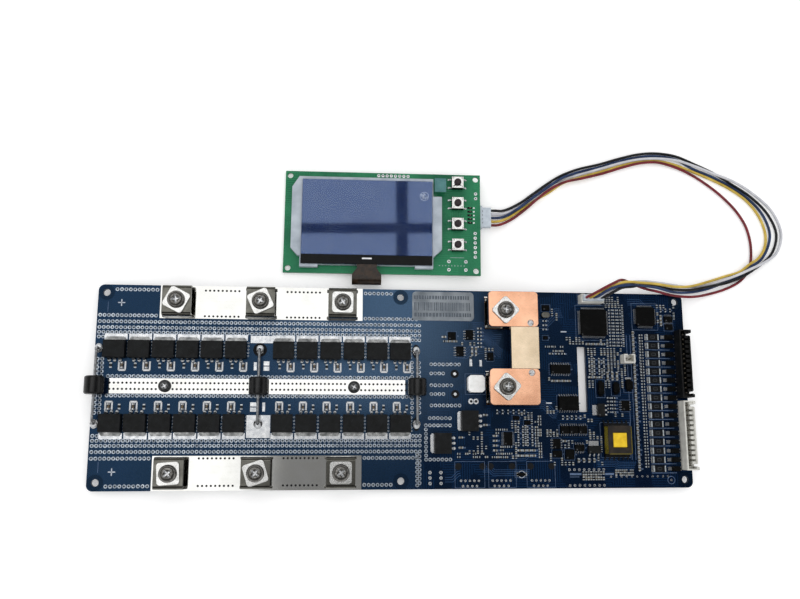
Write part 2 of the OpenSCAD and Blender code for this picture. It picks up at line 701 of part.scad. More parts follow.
module chip_field(f) for (i = [0:f[2] - 1], j = [0:f[3] - 1])
    translate(control(f[0], f[1]) + [i * f[4], j * f[5], 0]) rotate(f[6]) children();

module chip_resistors() color("#2a2a2c") for (f = resistor_fields) chip_field(f) block(1.6, 0.8, 0.45);
module chip_capacitors() color("#a08a6a") for (f = capacitor_fields) chip_field(f) block(1.8, 1, 0.9);

module crystal() color("silver") translate(control(75.4, 37.8))
    linear_extrude(1.6) rounded_rect(4.6, 3, 1.45);

module serial_label() color("#b4bcc4") translate(control(21.9, 41.7))
    linear_extrude(0.1) rounded_rect(31.9, 15, 2);

// ---------------------------------------------------------------- display unit

// The display rests on its left edge and on the side socket under its right edge,
// whose back corner comes down first
disp_x = -60.3;
disp_y = edge_y + 8.55;
socket_d = 7.6;
socket_u = disp_w - 6.2;          // back of the side socket
socket_v = 32.2;                  // middle of the side socket
socket_pin_u = socket_u + 0.8;
socket_pin_w = -disp_t - side_socket_h / 2;
disp_tilt = atan(side_socket_h / socket_u);
module on_display()
    translate([disp_x, disp_y, floor_z]) rotate([0, -disp_tilt, disp_yaw])
        translate([0, 0, disp_t]) children();

disp_hole_inset = 2.4;
switch_u = disp_w - 12.2;
switch_v = 15.6;
switch_w = 6;
switch_h = 3.2;
cover_t = 0.3;
leg_out = 4.4;                    // distance of a switch terminal from the switch middle
function switch_place(i) = [switch_u, switch_v + i * button_pitch, 0];

module display_board() color("#3a8062") on_display() translate([0, 0, -disp_t])
    linear_extrude(disp_t) difference() {
        square([disp_w, disp_d]);
        for (u = [disp_hole_inset, disp_w - disp_hole_inset], v = [disp_hole_inset, disp_d - disp_hole_inset])
            translate([u, v]) circle(d = 3);
        for (i = [0:cable_ways - 1]) translate([socket_pin_u, socket_v + way(i)])
            circle(d = cable_pin * 1.7);
        for (i = [0:3], sx = [-1, 1], sy = [-1, 1])
            translate([sx * leg_out, sy * 2.2]) translate(switch_place(i)) circle(d = 1);
        for (i = [0:7]) translate([flex_mid + 5.6 + i * 2.2, disp_d - 1.5]) circle(d = 0.9);
        for (i = [0:5]) translate([disp_w - 2.8, 9.8 + i * 2.54]) circle(d = 0.9);
        for (i = [0:1]) translate([disp_w - 2.4, 41.4 + i * 2.54]) circle(d = 0.9);
        for (sx = [-1, 1], sy = [-1, 1])
            translate([sx * leg_out, sy * 2.2]) translate(switch_place(-1) + [0, 0.6, 0]) circle(d = 1);
    }

// The display fills the board between its left edge and the switches
glass_u0 = 9.2;
glass_u1 = disp_w - 25.6;
glass_v0 = 4.2;
ledge_v = 8.9;                    // the upper plate starts here
glass_v1 = disp_d - 5.5;
pocket = 0.4;                     // depth of the glass seat in the frame
frame_u = [glass_u0 - 1.8, glass_u1 + 0.6];       // frame beside the glass
frame_v = [glass_v0 - 1.6, glass_v1 + 1.8];       // frame below and above the glass
wing_u = [glass_u0 - 5.4, glass_u1 + 5.1];        // wings of the backlight
wing_v = [glass_v0 + 8.2, glass_v1 - 7.7];
module backlight_frame() color("#b9c2cc") on_display() difference() {
    linear_extrude(frame_h) polygon([[frame_u[0] + 1.1, frame_v[0]], [glass_u0 + 8.6, frame_v[0]],
        [glass_u0 + 8.6, glass_v0 - 0.2], [glass_u1 - 8.8, glass_v0 - 0.2],
        [glass_u1 - 8.8, frame_v[0]], [frame_u[1], frame_v[0]], [frame_u[1], wing_v[0] - 3.8],
        [wing_u[1], wing_v[0] + 0.4], [wing_u[1], wing_v[1]], [frame_u[1], wing_v[1]],
        [frame_u[1], frame_v[1]], [frame_u[0], frame_v[1]], [wing_u[0], frame_v[1] - 5.7],
        [wing_u[0], wing_v[0]], [frame_u[0], wing_v[0] - 4], [frame_u[0] + 1.1, wing_v[0] - 4]]);
    translate([glass_u0 - run_gap, glass_v0 - run_gap, frame_h - pocket])
        cube([glass_u1 - glass_u0 + 2 * run_gap, glass_v1 - glass_v0 + 2 * run_gap, frame_h]);
}

glass_z = frame_h - pocket;
module display_glass() color("#5c6a9c") on_display() translate([0, 0, glass_z])
    translate([glass_u0, 0, 0]) rotate([90, 0, 90]) linear_extrude(glass_u1 - glass_u0)
        polygon([[glass_v0, 0], [glass_v1, 0], [glass_v1, 2 * glass_t], [ledge_v, 2 * glass_t],
            [ledge_v, glass_t], [glass_v0, glass_t]]);

ledge_z = glass_z + glass_t;
seal_t = 0.5;
flex_t = 0.2;
flex_mid = (glass_u0 + glass_u1) / 2 + 0.1;
module display_seal() color("#0c0d0f") on_display() translate([glass_u0, glass_v0, ledge_z]) difference() {
    cube([glass_u1 - glass_u0, ledge_v - glass_v0, seal_t]);
    translate([flex_mid - glass_u0 - 5.2, -eps, -eps]) cube([10.4, 1.4, flex_t + 2 * eps]);
}

// Flexible tail: over the ledge, round the lower edge and back under the board
flex_loop = (ledge_z + flex_t + disp_t + flex_t) / 2;     // outer radius of the bend
module flex_section() {
    bend_v = -3.2;
    translate([bend_v, ledge_z]) square([glass_v0 + 1.2 - bend_v, flex_t]);
    translate([bend_v, -disp_t - flex_t]) square([6.5, flex_t]);
    translate([bend_v, ledge_z + flex_t - flex_loop]) difference() {
        circle(flex_loop);
        circle(flex_loop - flex_t);
        translate([0, -2 * flex_loop]) square(4 * flex_loop);
    }
}
module display_flex() color("#3a2a1c") on_display() intersection() {
    translate([flex_mid - 10, 0, 0]) rotate([90, 0, 90]) linear_extrude(20) flex_section();
    translate([flex_mid, 0, -10]) linear_extrude(20) polygon([[-5.1, 6], [5.1, 6], [5.1, 2],
        [7.5, -1.2], [7.5, -9], [-7.5, -9], [-7.5, -1.2], [-5.1, 2]]);
}

// Clear protective film with its pull tab
film_t = 0.15;
film_tab = [glass_u1 + 7.3, glass_v1 - 5.7];      // outer corner of the tab
module display_film() color("#8496a8") on_display() translate([0, 0, glass_z + 2 * glass_t])
    linear_extrude(film_t) polygon([[glass_u0 + 0.4, ledge_v + 0.3], [glass_u1 - 0.2, ledge_v + 0.3],
        [glass_u1 - 0.2, film_tab[1]], [film_tab[0], film_tab[1]], [film_tab[0], glass_v1 + 2.5],
        [glass_u1 + 1, glass_v1 + 2.5], [glass_u1 - 0.2, glass_v1], [glass_u0 + 0.4, glass_v1]]);

well_d = button_d + 1.2;          // well in the switch for the button flange
well_h = 1.3;
flange_d = button_d + 0.8;
flange_t = 0.6;
flange_top = switch_h - 0.05;
module switch_bases() color("#26262a") on_display() for (i = [0:3]) translate(switch_place(i)) difference() {
    block(switch_w, switch_w, switch_h);
    translate([0, 0, switch_h - well_h]) cylinder(d = well_d, h = well_h + eps);
    for (sx = [-1, 1], sy = [-1, 1]) translate([sx * switch_w / 2, sy * 2.2, 0.4 - eps])
        block(2 * 0.4, 0.7 + eps, 0.3 + 2 * eps);
}

module switch_covers() color("whitesmoke") on_display() for (i = [0:3])
    translate(switch_place(i) + [0, 0, switch_h]) {
        linear_extrude(cover_t) difference() {
            square(switch_w, center = true);
            circle(d = button_d + 0.4);
        }
        for (sx = [-1, 1], sy = [-1, 1]) translate([sx * 2.3, sy * 2.3, cover_t]) cylinder(d = 0.9, h = 0.15);
    }

module switch_terminals() color("silver") on_display()
    for (i = [0:3], sx = [-1, 1], sy = [-1, 1]) translate(switch_place(i)) scale([sx, 1, 1])
        translate([0, sy * 2.2, 0]) {
            translate([switch_w / 2 - 0.4, -0.35, 0.4]) cube([leg_out - switch_w / 2 + 0.55, 0.7, 0.3]);
            translate([leg_out, 0, -disp_t - 0.6]) block(0.3, 0.7, disp_t + 1);
        }

module button(i) color("#2b2226") on_display() translate(switch_place(i)) {
    translate([0, 0, flange_top - flange_t]) cylinder(d = flange_d, h = flange_t);
    translate([0, 0, flange_top - eps]) cylinder(d = button_d, h = button_top - flange_top + eps);
}
module button_1() button(0);
module button_2() button(1);
module button_3() button(2);
module button_4() button(3);

// Side-entry socket under the display board, its mouth towards the cable
module side_socket() color("#dcdcd6") on_display()
    translate([socket_u, socket_v, -disp_t - side_socket_h]) difference() {
        translate([0, -cable_l / 2, 0]) cube([socket_d, cable_l, side_socket_h]);
        translate([header_floor, header_wall - cable_l / 2,
            header_wall + (side_socket_h - cable_header_d) / 2])
            cube([socket_d, cable_l - 2 * header_wall, cable_header_d - 2 * header_wall]);
        for (i = [0:cable_ways - 1]) translate([0, way(i), 0]) {
            translate([0.8, 0, side_socket_h / 2 - cable_pin / 2]) block(cable_pin, cable_pin, side_socket_h);
            translate([0.8 - cable_pin / 2, -cable_pin / 2, side_socket_h / 2 - cable_pin / 2])
                cube([header_floor, cable_pin, cable_pin]);
        }
    }

side_plug_u = socket_u + socket_d - plug_in;      // mouth of the display plug
side_plug_l = 8.9;
module display_plug() color("whitesmoke") on_display()
    translate([side_plug_u, socket_v, -disp_t - side_socket_h / 2]) rotate([0, 90, 0]) rotate(90) {
        plug_core(plug_l, plug_d, side_plug_l);
    }

// ---------------------------------------------------------------- cable

// The middle of each wire, from the display plug round to the board plug. The wires
// leave the plugs straight, drop to the table, cross and part again, and rise to the board.
black_route = [
    [48.1, 93.8, 0.5], [51, 93.8, 0.7], [54.3, 94.2, -0.8], [62.8, 97.8, -0.6],
    [71.9, 104.2, -0.4], [78.4, 109, -0.4], [87, 114.6, -0.7], [96.2, 118.6, -1],
    [109.4, 122.2, -1], [121.3, 126, -1], [131.5, 128.7, -1.2], [142, 129.9, -1.7],
    [153.6, 128.5, -1.7], [163.9, 124.4, -1.7], [174, 119.9, -1.7], [184.7, 113.5, -1.7],
    [195.9, 106, -1.7], [204.7, 96.5, -1.7], [208.6, 85.6, -1.7], [205.5, 75.4, -1.7],
    [198.4, 68.5, -1.1], [192.6, 64.8, 0], [187.1, 61.3, -0.3], [177.9, 57.6, -0.2],
    [166.3, 55, 0.1], [155.1, 52.8, 1.5], [145, 52.5, 3.6], [134, 53.3, 6.6], [129, 53.4, 8.4],
    [124, 53.1, 10.2], [119.1, 51.9, 11.8], [114.4, 51.3, 12.8], [107.5, 48.1, 15.2],
    [105.3, 46.9, 14.6], [103.9, 46.2, 12.7], [103.3, 46.2, 10.9], [103.3, 46.2, 10.2]];

white_route = [
    [48.1, 91.8, 0.5], [51, 91.8, 0.7], [55.2, 92.7, -1], [63.4, 96.9, -1.7],
    [72.4, 103.6, -1.7], [78.8, 108.3, -1.7], [87.9, 112.8, -1.7], [97.2, 115.7, -1.4],
    [110.1, 119.7, -0.9], [122, 123.5, -0.9], [132, 125.7, -0.5], [142, 126.5, -0.5],
    [152.9, 125.7, -0.2], [163.2, 122.8, -0.2], [173.5, 118.9, -0.1], [185.3, 114.5, -0.2],
    [197.4, 107.7, -1.4], [207.4, 98, -1.7], [211.4, 85.7, -1.7], [207, 74.5, -0.7],
    [198.3, 68.6, 0.4], [192.1, 65.7, 1.2], [186.3, 63, 0.4], [177.2, 59.4, -0.6],
    [166, 56.1, -1.4], [154.9, 54.7, 0.2], [145, 54.9, 3.4], [134, 55.5, 6.6],
    [129.1, 55.5, 8.4], [124, 55.2, 10.3], [119, 54.3, 11.8], [114, 53, 12.6],
    [108.8, 50.1, 13.2], [104.8, 48.3, 14], [102.8, 47.2, 13.6], [101.7, 46.4, 12.2],
    [101.3, 46.2, 10.4], [101.3, 46.2, 10.2]];

blue_route = [
    [48.1, 89.8, 0.5], [51, 89.8, 0.7], [56, 91.2, -0.8], [63.9, 96.1, -0.4],
    [72.8, 102.9, -0.4], [79.3, 107.6, -0.4], [87.7, 113.3, -0.1], [96.7, 117.1, -1.1],
    [109.7, 120.9, -1.7], [121.7, 124.8, -1.7], [131.8, 127.3, -1.7], [142, 128.3, -1.7],
    [153.2, 126.8, -1.7], [162.8, 121.7, -1.7], [173, 117.7, -1.7], [183.9, 112.2, -1.7],
    [194.7, 104.6, -1.7], [202.2, 95.1, -1.7], [204.8, 85.5, -1.7], [202.4, 77.2, -1.3],
    [197.1, 70, -0.7], [191.5, 66.6, -0.1], [186.5, 62.5, -1.1], [177.6, 58.4, -1.7],
    [166.6, 54.1, -1.4], [155.3, 51.6, 0.5], [145.1, 50.9, 4], [134, 52.4, 7.8],
    [129, 52.6, 9.7], [124, 52.6, 11.7], [119.1, 52.6, 13.2], [114.2, 52.1, 14.2],
    [108.5, 50.8, 14.7], [103.4, 48.3, 15.3], [101.3, 46.9, 14.6], [99.9, 46.2, 12.7],
    [99.3, 46.2, 10.9], [99.3, 46.2, 10.2]];

yellow_route = [
    [48, 87.8, 0.5], [50.9, 87.8, 0.7], [56.8, 89.9, -0.9], [64.6, 95.1, -1.7],
    [73.9, 101.4, -1.7], [80.7, 105.5, -1.7], [88.8, 111.1, -1.7], [97.7, 114.2, -1.2],
    [110.5, 118.3, -1.7], [122.3, 122.2, -1.7], [132.2, 124.8, -1.7], [142, 125.6, -1.7],
    [152.5, 123.7, -1.7], [162.1, 120.2, -1.7], [172.3, 116.2, -1.7], [183.2, 110.9, -1.7],
    [193.5, 103.4, -1.7], [200, 93.8, -1.7], [202.2, 85.4, -1.7], [201, 78, -1.3],
    [196.1, 71.3, -0.5], [190.8, 67.9, -0.1], [185.8, 64.1, -0.8], [176.6, 61.1, -1.7],
    [165.6, 57.5, -0.2], [154.9, 54.6, 1.8], [145, 53.8, 4.6], [134, 54.4, 7.7],
    [129, 54.3, 9.6], [124, 54.1, 11.6], [119, 54.1, 13.3], [113.8, 53.7, 14.1],
    [108.2, 51.7, 13.1], [100.8, 48.3, 14], [98.8, 47.2, 13.6], [97.7, 46.4, 12.2],
    [97.3, 46.2, 10.4], [97.3, 46.2, 10.2]];

red_route = [
    [48, 85.8, 0.5], [50.9, 85.8, 0.7], [57.6, 88.5, -0.9], [65.4, 93.9, -1.1],
    [74, 101.3, -0.1], [80.2, 106.3, -0.5], [88.8, 111, -0.1], [98, 113.3, -0],
    [110.9, 117, -1], [122.7, 121, -1], [132.4, 123.6, -0.8], [142, 124.4, -0.8],
    [152.2, 122.2, -1.3], [161.4, 118.4, -1.7], [170.5, 112.7, -1.7], [180, 104.9, -1.7],
    [187.2, 96.7, -1.7], [191.2, 89.3, -1.7], [192.9, 82, -1.7], [193.1, 75, -1.7],
    [192.2, 68.8, -1.7], [189.7, 63.2, -1.7], [185, 58.4, -1.7], [178, 54.7, -1.7],
    [167, 51.2, -1.3], [155.7, 49, 1.5], [145.1, 49.2, 3.4], [134, 50.8, 6.6],
    [128.9, 51.5, 7.7], [124, 52.7, 8.7], [118.9, 54.3, 10.2], [113.4, 55.2, 12.7],
    [107.8, 52.8, 14.8], [99.3, 48.3, 15.3], [97.1, 47.1, 14.5], [95.7, 46.5, 12.9],
    [95.3, 46.2, 10.9], [95.3, 46.2, 10.2]];

ring_sides = 8;
ring_step = 2;                    // rings on each stretch between two points

function unit(v) = v / norm(v);
// Direction of the route at point i, weighted by the lengths on both sides of it
function heading(p, i) =
    let (n = len(p) - 1, before = i > 0 ? p[i] - p[i - 1] : p[1] - p[0],
        after = i < n ? p[i + 1] - p[i] : p[n] - p[n - 1])
    (unit(before) * norm(after) + unit(after) * norm(before)) / (norm(before) + norm(after));
// Smooth curve between points i and i + 1, with t from 0 to 1
function along(p, i, t) =
    let (reach = norm(p[i + 1] - p[i]))
    (2 * pow(t, 3) - 3 * t * t + 1) * p[i] + (pow(t, 3) - 2 * t * t + t) * reach * heading(p, i)
    + (3 * t * t - 2 * pow(t, 3)) * p[i + 1] + (pow(t, 3) - t * t) * reach * heading(p, i + 1);
function smooth(p) = concat(
    [for (i = [0:len(p) - 2], j = [0:ring_step - 1]) along(p, i, j / ring_step)], [p[len(p) - 1]]);
// Side direction of every ring, carried along so that the tube never twists
function sides(c) = [for (i = 0, s = unit(cross([0, 0, 1], heading(c, 0))); i < len(c);
    i = i + 1, s = i < len(c) ? unit(s - (s * unit(heading(c, i))) * unit(heading(c, i))) : s) s];

module tube(p, d) {
    c = smooth(p);
    s = sides(c);
    n = len(c);
    rings = [for (i = [0:n - 1], a = [0:ring_sides - 1])
        let (up = cross(unit(heading(c, i)), s[i]), turn = 360 * (a + 0.5) / ring_sides)
        c[i] + d / 2 * (cos(turn) * s[i] + sin(turn) * up)];
    walls = [for (i = [0:n - 2], a = [0:ring_sides - 1], half = [0, 1])
        let (b = (a + 1) % ring_sides, here = i * ring_sides, next = here + ring_sides)
        half == 0 ? [here + a, next + a, next + b] : [here + a, next + b, here + b]];
    first = [for (a = [0:ring_sides - 1]) a];
    last = [for (a = [ring_sides - 1:-1:0]) (n - 1) * ring_sides + a];
    polyhedron(rings, concat(walls, [first, last]), convexity = 10);
}

module wire_black() color("#17181c") tube(black_route, wire_d);
module wire_white() color("#c9cad0") tube(white_route, wire_d);
module wire_blue() color("#1d3156") tube(blue_route, wire_d);
module wire_yellow() color("#c9ab45") tube(yellow_route, wire_d);
module wire_red() color("#6e1a24") tube(red_route, wire_d);

main_board();
tinned_strips();
transistor_cases();
transistor_leadframes();
gate_resistors();
clamp_diodes();
terminal_brackets();
nut_plates();
square_washers();
terminal_screws();
surge_diode_bodies();
surge_diode_leads();
solder_joints();
strip_screws();
strip_nuts();
shunt_copper_ends();
shunt_alloy_strip();
shunt_sense_pins();
processor_case();
monitor_case();
small_ic_cases();
ic_leads();
balance_resistors();
balance_transistors();
balance_tabs();
black_header();
white_header();
header_pins();
display_header();
probe_header();
transformer_core();
transformer_winding();
transformer_bobbin();
power_choke();
power_diodes();
chip_resistors();
chip_capacitors();
crystal();
serial_label();
display_board();
backlight_frame();
display_glass();
display_seal();
display_flex();
display_film();
switch_bases();
switch_covers();
switch_terminals();
button_1();
button_2();
button_3();
button_4();
side_socket();
board_plug();
display_plug();
wire_black();
wire_white();
wire_blue();
wire_yellow();
wire_red();
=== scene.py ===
"""Looks of the battery management board, dressed over its packed CAD frame.

Every length below is in millimetres, as in the part's own source, and is turned into
metres where a mesh is made. Places come from the frame's nodes where a node has them.
"""

import functools
import math

import bmesh
import bpy
import numpy as np
from bpy.props import FloatProperty, FloatVectorProperty, IntProperty, PointerProperty
from mathutils import Matrix, Vector


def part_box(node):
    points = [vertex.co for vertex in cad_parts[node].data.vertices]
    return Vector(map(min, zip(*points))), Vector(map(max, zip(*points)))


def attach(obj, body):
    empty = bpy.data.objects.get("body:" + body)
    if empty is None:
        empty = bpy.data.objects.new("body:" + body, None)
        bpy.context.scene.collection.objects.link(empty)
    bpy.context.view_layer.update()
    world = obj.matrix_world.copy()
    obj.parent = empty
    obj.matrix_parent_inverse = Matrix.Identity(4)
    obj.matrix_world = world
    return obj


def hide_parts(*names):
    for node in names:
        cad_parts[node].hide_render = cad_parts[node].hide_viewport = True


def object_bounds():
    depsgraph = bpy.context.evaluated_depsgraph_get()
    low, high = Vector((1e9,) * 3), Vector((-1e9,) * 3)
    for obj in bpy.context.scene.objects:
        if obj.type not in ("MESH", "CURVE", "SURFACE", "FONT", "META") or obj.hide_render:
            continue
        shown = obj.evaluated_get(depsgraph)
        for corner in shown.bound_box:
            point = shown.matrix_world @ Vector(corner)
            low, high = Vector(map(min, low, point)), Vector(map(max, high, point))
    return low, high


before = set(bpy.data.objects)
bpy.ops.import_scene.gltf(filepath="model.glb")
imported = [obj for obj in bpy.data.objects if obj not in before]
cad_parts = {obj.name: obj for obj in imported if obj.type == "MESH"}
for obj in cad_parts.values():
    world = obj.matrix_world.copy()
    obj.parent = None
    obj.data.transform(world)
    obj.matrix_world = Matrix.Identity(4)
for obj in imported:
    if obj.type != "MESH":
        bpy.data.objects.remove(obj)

bl_info = {
    "name": "Battery Management Board",
    "version": (1, 0, 0),
    "blender": (4, 5, 0),
    "location": "View3D > Sidebar > Board",
    "description": "Dresses the packed battery management board with its pieces and materials",
    "category": "Object",
}

CAD_BOX = [list(corner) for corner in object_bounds()]
MM = 0.001
WELD = 1e-6                # distance in metres at which the corners of a solid are one
LEAD_PITCH = 2.54
CONTROL_FROM = 12          # x where the control section begins; the power section is left of it

# Heights over the board's face at which flat marks lie, so that no two share a plane
LIFT = {
    "surrounds": 0.01, "tracks": 0.012, "holes": 0.025, "rings": 0.03, "dark": 0.035,
    "faint": 0.04, "metal": 0.045, "ink": 0.05, "frames": 0.055,
}

# Middle line of each wire, from the display plug to the plug on the power board
ROUTES = {
    "black": (
        (48.1, 93.8, 0.5), (51, 93.8, 0.7), (54.3, 94.2, -0.8), (62.8, 97.8, -0.6),
        (71.9, 104.2, -0.4), (78.4, 109, -0.4), (87, 114.6, -0.7), (96.2, 118.6, -1),
        (109.4, 122.2, -1), (121.3, 126, -1), (131.5, 128.7, -1.2), (142, 129.9, -1.7),
        (153.6, 128.5, -1.7), (163.9, 124.4, -1.7), (174, 119.9, -1.7), (184.7, 113.5, -1.7),
        (195.9, 106, -1.7), (204.7, 96.5, -1.7), (208.6, 85.6, -1.7), (205.5, 75.4, -1.7),
        (198.4, 68.5, -1.1), (192.6, 64.8, 0), (187.1, 61.3, -0.3), (177.9, 57.6, -0.2),
        (166.3, 55, 0.1), (155.1, 52.8, 1.5), (145, 52.5, 3.6), (134, 53.3, 6.6),
        (129, 53.4, 8.4), (124, 53.1, 10.2), (119.1, 51.9, 11.8), (114.4, 51.3, 12.8),
        (107.5, 48.1, 15.2), (105.3, 46.9, 14.6), (103.9, 46.2, 12.7), (103.3, 46.2, 10.9),
        (103.3, 46.2, 10.2),
    ),
    "white": (
        (48.1, 91.8, 0.5), (51, 91.8, 0.7), (55.2, 92.7, -1), (63.4, 96.9, -1.7),
        (72.4, 103.6, -1.7), (78.8, 108.3, -1.7), (87.9, 112.8, -1.7), (97.2, 115.7, -1.4),
        (110.1, 119.7, -0.9), (122, 123.5, -0.9), (132, 125.7, -0.5), (142, 126.5, -0.5),
        (152.9, 125.7, -0.2), (163.2, 122.8, -0.2), (173.5, 118.9, -0.1), (185.3, 114.5, -0.2),
        (197.4, 107.7, -1.4), (207.4, 98, -1.7), (211.4, 85.7, -1.7), (207, 74.5, -0.7),
        (198.3, 68.6, 0.4), (192.1, 65.7, 1.2), (186.3, 63, 0.4), (177.2, 59.4, -0.6),
        (166, 56.1, -1.4), (154.9, 54.7, 0.2), (145, 54.9, 3.4), (134, 55.5, 6.6),
        (129.1, 55.5, 8.4), (124, 55.2, 10.3), (119, 54.3, 11.8), (114, 53, 12.6),
        (108.8, 50.1, 13.2), (104.8, 48.3, 14), (102.8, 47.2, 13.6), (101.7, 46.4, 12.2),
        (101.3, 46.2, 10.4), (101.3, 46.2, 10.2),
    ),
    "blue": (
        (48.1, 89.8, 0.5), (51, 89.8, 0.7), (56, 91.2, -0.8), (63.9, 96.1, -0.4),
        (72.8, 102.9, -0.4), (79.3, 107.6, -0.4), (87.7, 113.3, -0.1), (96.7, 117.1, -1.1),
        (109.7, 120.9, -1.7), (121.7, 124.8, -1.7), (131.8, 127.3, -1.7), (142, 128.3, -1.7),
        (153.2, 126.8, -1.7), (162.8, 121.7, -1.7), (173, 117.7, -1.7), (183.9, 112.2, -1.7),
        (194.7, 104.6, -1.7), (202.2, 95.1, -1.7), (204.8, 85.5, -1.7), (202.4, 77.2, -1.3),
        (197.1, 70, -0.7), (191.5, 66.6, -0.1), (186.5, 62.5, -1.1), (177.6, 58.4, -1.7),
        (166.6, 54.1, -1.4), (155.3, 51.6, 0.5), (145.1, 50.9, 4), (134, 52.4, 7.8),
        (129, 52.6, 9.7), (124, 52.6, 11.7), (119.1, 52.6, 13.2), (114.2, 52.1, 14.2),
        (108.5, 50.8, 14.7), (103.4, 48.3, 15.3), (101.3, 46.9, 14.6), (99.9, 46.2, 12.7),
        (99.3, 46.2, 10.9), (99.3, 46.2, 10.2),
    ),
    "yellow": (
        (48, 87.8, 0.5), (50.9, 87.8, 0.7), (56.8, 89.9, -0.9), (64.6, 95.1, -1.7),
        (73.9, 101.4, -1.7), (80.7, 105.5, -1.7), (88.8, 111.1, -1.7), (97.7, 114.2, -1.2),
        (110.5, 118.3, -1.7), (122.3, 122.2, -1.7), (132.2, 124.8, -1.7), (142, 125.6, -1.7),
        (152.5, 123.7, -1.7), (162.1, 120.2, -1.7), (172.3, 116.2, -1.7), (183.2, 110.9, -1.7),
        (193.5, 103.4, -1.7), (200, 93.8, -1.7), (202.2, 85.4, -1.7), (201, 78, -1.3),
        (196.1, 71.3, -0.5), (190.8, 67.9, -0.1), (185.8, 64.1, -0.8), (176.6, 61.1, -1.7),
        (165.6, 57.5, -0.2), (154.9, 54.6, 1.8), (145, 53.8, 4.6), (134, 54.4, 7.7),
        (129, 54.3, 9.6), (124, 54.1, 11.6), (119, 54.1, 13.3), (113.8, 53.7, 14.1),
        (108.2, 51.7, 13.1), (100.8, 48.3, 14), (98.8, 47.2, 13.6), (97.7, 46.4, 12.2),
        (97.3, 46.2, 10.4), (97.3, 46.2, 10.2),
    ),
    "red": (
        (48, 85.8, 0.5), (50.9, 85.8, 0.7), (57.6, 88.5, -0.9), (65.4, 93.9, -1.1),
        (74, 101.3, -0.1), (80.2, 106.3, -0.5), (88.8, 111, -0.1), (98, 113.3, 0),
        (110.9, 117, -1), (122.7, 121, -1), (132.4, 123.6, -0.8), (142, 124.4, -0.8),
        (152.2, 122.2, -1.3), (161.4, 118.4, -1.7), (170.5, 112.7, -1.7), (180, 104.9, -1.7),
        (187.2, 96.7, -1.7), (191.2, 89.3, -1.7), (192.9, 82, -1.7), (193.1, 75, -1.7),
        (192.2, 68.8, -1.7), (189.7, 63.2, -1.7), (185, 58.4, -1.7), (178, 54.7, -1.7),
        (167, 51.2, -1.3), (155.7, 49, 1.5), (145.1, 49.2, 3.4), (134, 50.8, 6.6),
        (128.9, 51.5, 7.7), (124, 52.7, 8.7), (118.9, 54.3, 10.2), (113.4, 55.2, 12.7),
        (107.8, 52.8, 14.8), (99.3, 48.3, 15.3), (97.1, 47.1, 14.5), (95.7, 46.5, 12.9),
        (95.3, 46.2, 10.9), (95.3, 46.2, 10.2),
    ),
}


# ------------------------------------------------------------------ meshes


def add_object(name, mesh, *materials, body="unit"):
    """Link a mesh as an object at the origin that rides on a CAD body."""
    obj = bpy.data.objects.new(name, mesh)
    bpy.context.scene.collection.objects.link(obj)
    for material in materials:
        mesh.materials.append(material)
    if body:
        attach(obj, body)
    return obj


def add_piece(name, bm, *finishes, node=None, slot=None):
    """Add a bmesh in millimetres, which stands in for a CAD node where one is given; the slot
    argument is not used.
    """
    bmesh.ops.scale(bm, vec=(MM, MM, MM), verts=bm.verts)
    piece = add_object(name, finish_mesh(name, bm), *(FINISH[finish] for finish in finishes))
    if node:
        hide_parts(node)


def finish_mesh(name, bm, smooth=None):
    """Turn a bmesh into a mesh; with smooth, only edges sharper than that angle stay hard."""
    mesh = bpy.data.meshes.new(name)
    bm.to_mesh(mesh)
    bm.free()
    if smooth:
        mesh.shade_smooth()
        mesh.set_sharp_from_angle(angle=math.radians(smooth))
    return mesh


def welded(node):
    """The mesh of a CAD node as a bmesh whose solids are each in one piece."""
    bm = bmesh.new()
    bm.from_mesh(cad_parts[node].data)
    bmesh.ops.remove_doubles(bm, verts=bm.verts, dist=WELD)
    return bm


class Solid:
    """Extent in millimetres of one solid."""

    def __init__(self, low, high):
        self.low, self.high = Vector(low), Vector(high)
        self.middle, self.size = (self.low + self.high) / 2, self.high - self.low


def whole(node):
    """Extent of all that a CAD node holds."""
    return Solid(*(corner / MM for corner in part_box(node)))


def solids(node):
    """Extent of each separate solid of a CAD node."""
    bm = welded(node)
    found, seen = [], set()
    for start in bm.verts:
        if start in seen:
            continue
        seen.add(start)
        piece, waiting = [], [start]
        while waiting:
            vert = waiting.pop()
            piece.append(vert.co / MM)
            for edge in vert.link_edges:
                other = edge.other_vert(vert)
                if other not in seen:
                    seen.add(other)
                    waiting.append(other)
        points = np.array(piece)
        found.append(Solid(points.min(axis=0), points.max(axis=0)))
    bm.free()
    return found


def in_row(case):
    """Whether a transistor stands in one of the two long rows."""
    return case.size.x > 10 and case.middle.x < 10


def board_top():
    return whole("main_board").high.z


def bevel(bm, geom, offset, segments=1, affect="EDGES", **more):
    bmesh.ops.bevel(
        bm, geom=geom, offset=offset, segments=segments, profile=0.5, affect=affect, material=-1,
        **more,
    )


def soften(node, width, *finishes, segments=2, pick=None, body="unit"):
    """Stand a copy of a CAD node in its place, with every sharp edge rounded."""
    bm = welded(node)
    bmesh.ops.dissolve_limit(
        bm, angle_limit=math.radians(0.5), verts=bm.verts, edges=bm.edges, delimit={"NORMAL"}
    )
    sharp = [
        edge for edge in bm.edges
        if len(edge.link_faces) == 2 and edge.calc_face_angle() > math.radians(25)
    ]
    if width:
        bevel(bm, sharp, width * MM, segments, clamp_overlap=True)
    if pick:
        for face in bm.faces:
            face.material_index = pick(face.calc_center_median() / MM)
    materials = [FINISH[finish] for finish in finishes]
    made = add_object(f"{node}_soft", finish_mesh(node, bm, 50), *materials, body=body)
    made.modifiers.new("even shading", "WEIGHTED_NORMAL").keep_sharp = True
    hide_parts(node)


def shape(bm, smooth=40):
    """A small mesh that is stamped many times into a piece."""
    return finish_mesh("shape", bm, smooth)


